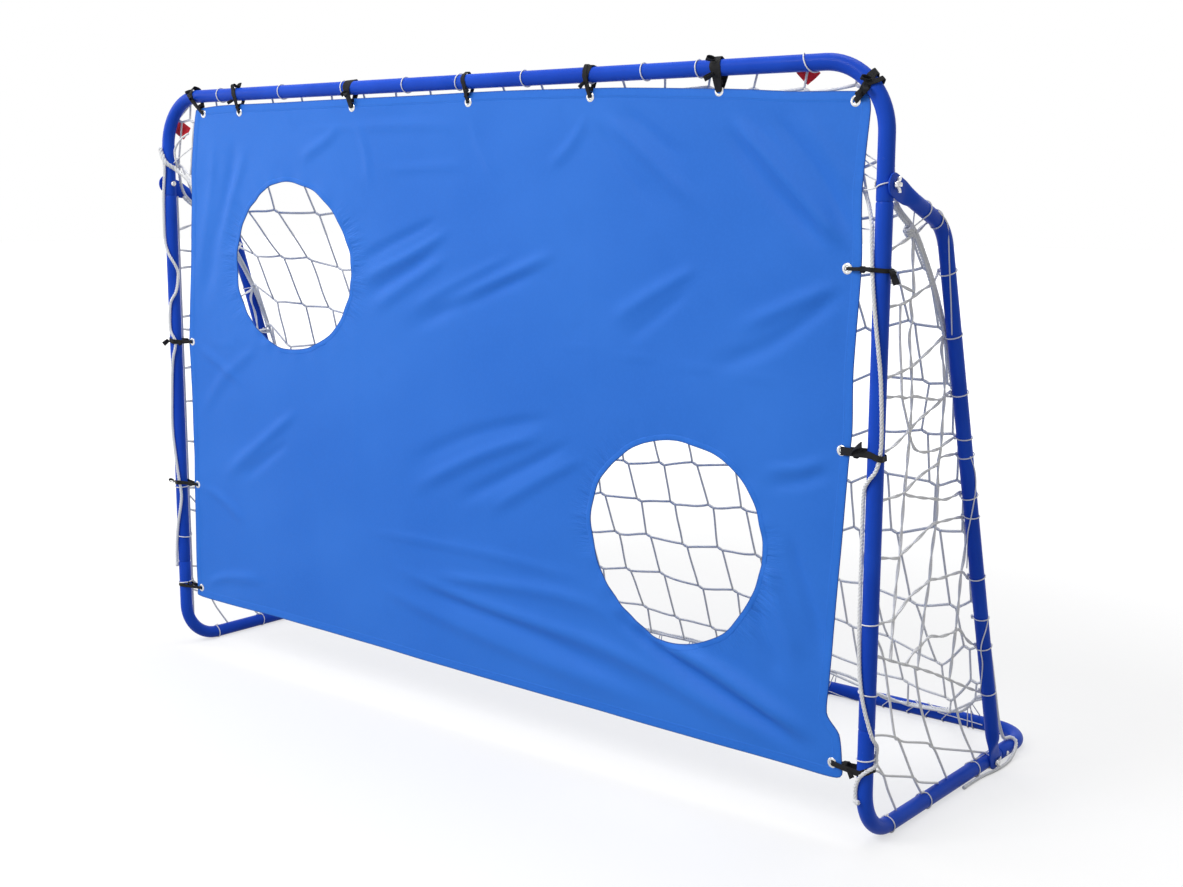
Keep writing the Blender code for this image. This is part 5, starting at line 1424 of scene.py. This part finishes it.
# CORNER TAGS
# Small squares of red woven label, sewn round the net's edge at both top corners.
red = Finish("red_label_weave", {"Specular IOR Level": 0.3, "Sheen Weight": 0.3})
spot = red.place()
weave = (red.axis(spot, "X") * 7000.0).sine() * (red.axis(spot, "Z") * 7000.0).sine()
bloom = red.cloud(80.0, 3.0)
faded = bloom.between(0.3, 0.7) * 0.6 + weave * 0.2
red.show("Base Color", red.blend(faded, (0.880, 0.016, 0.032), (0.980, 0.040, 0.060)))
red.show("Roughness", 0.6 + bloom * 0.2)
red.relief(weave * 0.5 + bloom, 0.0002)

# Each tag: place across and height, half its side, and how far it is turned.
TAGS = {"left": (-1.037, 1.404, 0.0185, 37), "right": (0.877, 1.468, 0.0155, 47)}
TAG_SKIN = 0.0006
TAG_CELLS = 12
(TOP_BACK, TOP_HEIGHT), (NEXT_BACK, NEXT_HEIGHT) = CORNER_LINE[:2]
NET_LEAN = (NEXT_BACK - TOP_BACK) / (TOP_HEIGHT - NEXT_HEIGHT)


def tag_points(across_at, height, half, tilt):
    """Both faces of a tag that lies on the leaning net and curls a little."""
    back = TOP_BACK + (TOP_HEIGHT - height) * NET_LEAN + 0.00335
    c, s = math.cos(math.radians(tilt)), math.sin(math.radians(tilt))
    points = []
    for skin in (-TAG_SKIN, TAG_SKIN):
        for row in range(TAG_CELLS + 1):
            for column in range(TAG_CELLS + 1):
                u, v = 2 * column / TAG_CELLS - 1, 2 * row / TAG_CELLS - 1
                curl = 0.0014 * u * u + 0.0010 * math.sin(3 * v + u)
                over, up = half * (u * c + v * s), half * (v * c - u * s)
                depth = back + skin + curl + over * 0.35 - up * NET_LEAN
                points.append((across_at + over, POST_Y + depth, height + up))
    return points


wide = TAG_CELLS + 1
faces = []
for a in (row * wide + column for row in range(TAG_CELLS) for column in range(TAG_CELLS)):
    quad = (a, a + 1, a + wide + 1, a + wide)
    faces += [quad, tuple(wide ** 2 + k for k in reversed(quad))]
border = list(range(TAG_CELLS)) + [(k + 1) * wide - 1 for k in range(TAG_CELLS)]
border += [wide ** 2 - 1 - k for k in range(TAG_CELLS)] + [(TAG_CELLS - k) * wide for k in range(TAG_CELLS)]
for k, m in zip(border, border[1:] + border[:1]):
    faces.append((m, k, k + wide ** 2, m + wide ** 2))
for side, tag in TAGS.items():
    piece("sewn_tag_" + side, tag_points(*tag), faces, red, ["corner_tag_" + side], sharp=50)


# FLOOR AND LIGHT
# A plain pale floor that runs to white. A broad soft light stands high in front, nearly in the
# middle, with a weaker one on the left and one overhead, inside a pale room.
FLOOR_HALF = 30
ground = Finish("pale_floor", {"Base Color": (0.40, 0.40, 0.40, 1), "Roughness": 0.9,
                               "Specular IOR Level": 0.1, "Emission Strength": 1.0})
seen = ground.ray("Is Camera Ray") + ground.ray("Is Glossy Ray")
spread = ground.node("ShaderNodeVectorMath", {"operation": "LENGTH"}, {0: ground.place()}, "Value")
glow = seen * (0.60 + spread.between(1.2, 5.0) * 0.50)
white = ground.node("ShaderNodeCombineColor", {}, {"Red": glow, "Green": glow, "Blue": glow})
ground.show("Emission Color", white)
corners = [(-FLOOR_HALF, -FLOOR_HALF, 0), (FLOOR_HALF, -FLOOR_HALF, 0), (FLOOR_HALF, FLOOR_HALF, 0),
           (-FLOOR_HALF, FLOOR_HALF, 0)]
floor_mesh = mesh_of("floor", corners, [(0, 1, 2, 3)])
floor_mesh.materials.append(ground.material)
floor = placed("floor", floor_mesh)


def soft_light(name, place, target, size, power):
    """A square light that faces its target."""
    lamp = bpy.data.lights.new(name, "AREA")
    lamp.size = size
    lamp.energy = power
    obj = placed(name, lamp)
    obj.location = place
    obj.rotation_mode = "QUATERNION"
    obj.rotation_quaternion = (Vector(target) - Vector(place)).to_track_quat("-Z", "Y")


soft_light("front_light", (-0.8, -4.2, 4.1), (0, -0.2, 0.7), 2.2, 134)
soft_light("side_light", (-4.6, -2.0, 2.0), (0.3, -0.3, 0.8), 2.4, 36)
soft_light("top_light", (0.3, 0.3, 4.6), (0, 0, 0.5), 2.2, 50)

# The room is a little brighter on the left, and white wherever the camera or a shine sees it.
world = bpy.data.worlds.new("studio")
bpy.context.scene.world = world
world.use_nodes = True
room = Nodes(world.node_tree, "Background")
shown = room.ray("Is Camera Ray")
shown = shown.maths("MAXIMUM", shown, room.ray("Is Glossy Ray"))
dimmed = room.axis(room.place("Generated"), "X") * -0.20 + 0.58
room.show("Color", (1, 1, 1, 1))
strength = room.node("ShaderNodeMapRange", {}, {"Value": shown, "To Min": dimmed, "To Max": 1.0})
room.show("Strength", strength)
bpy.context.scene.view_settings.view_transform = "Standard"
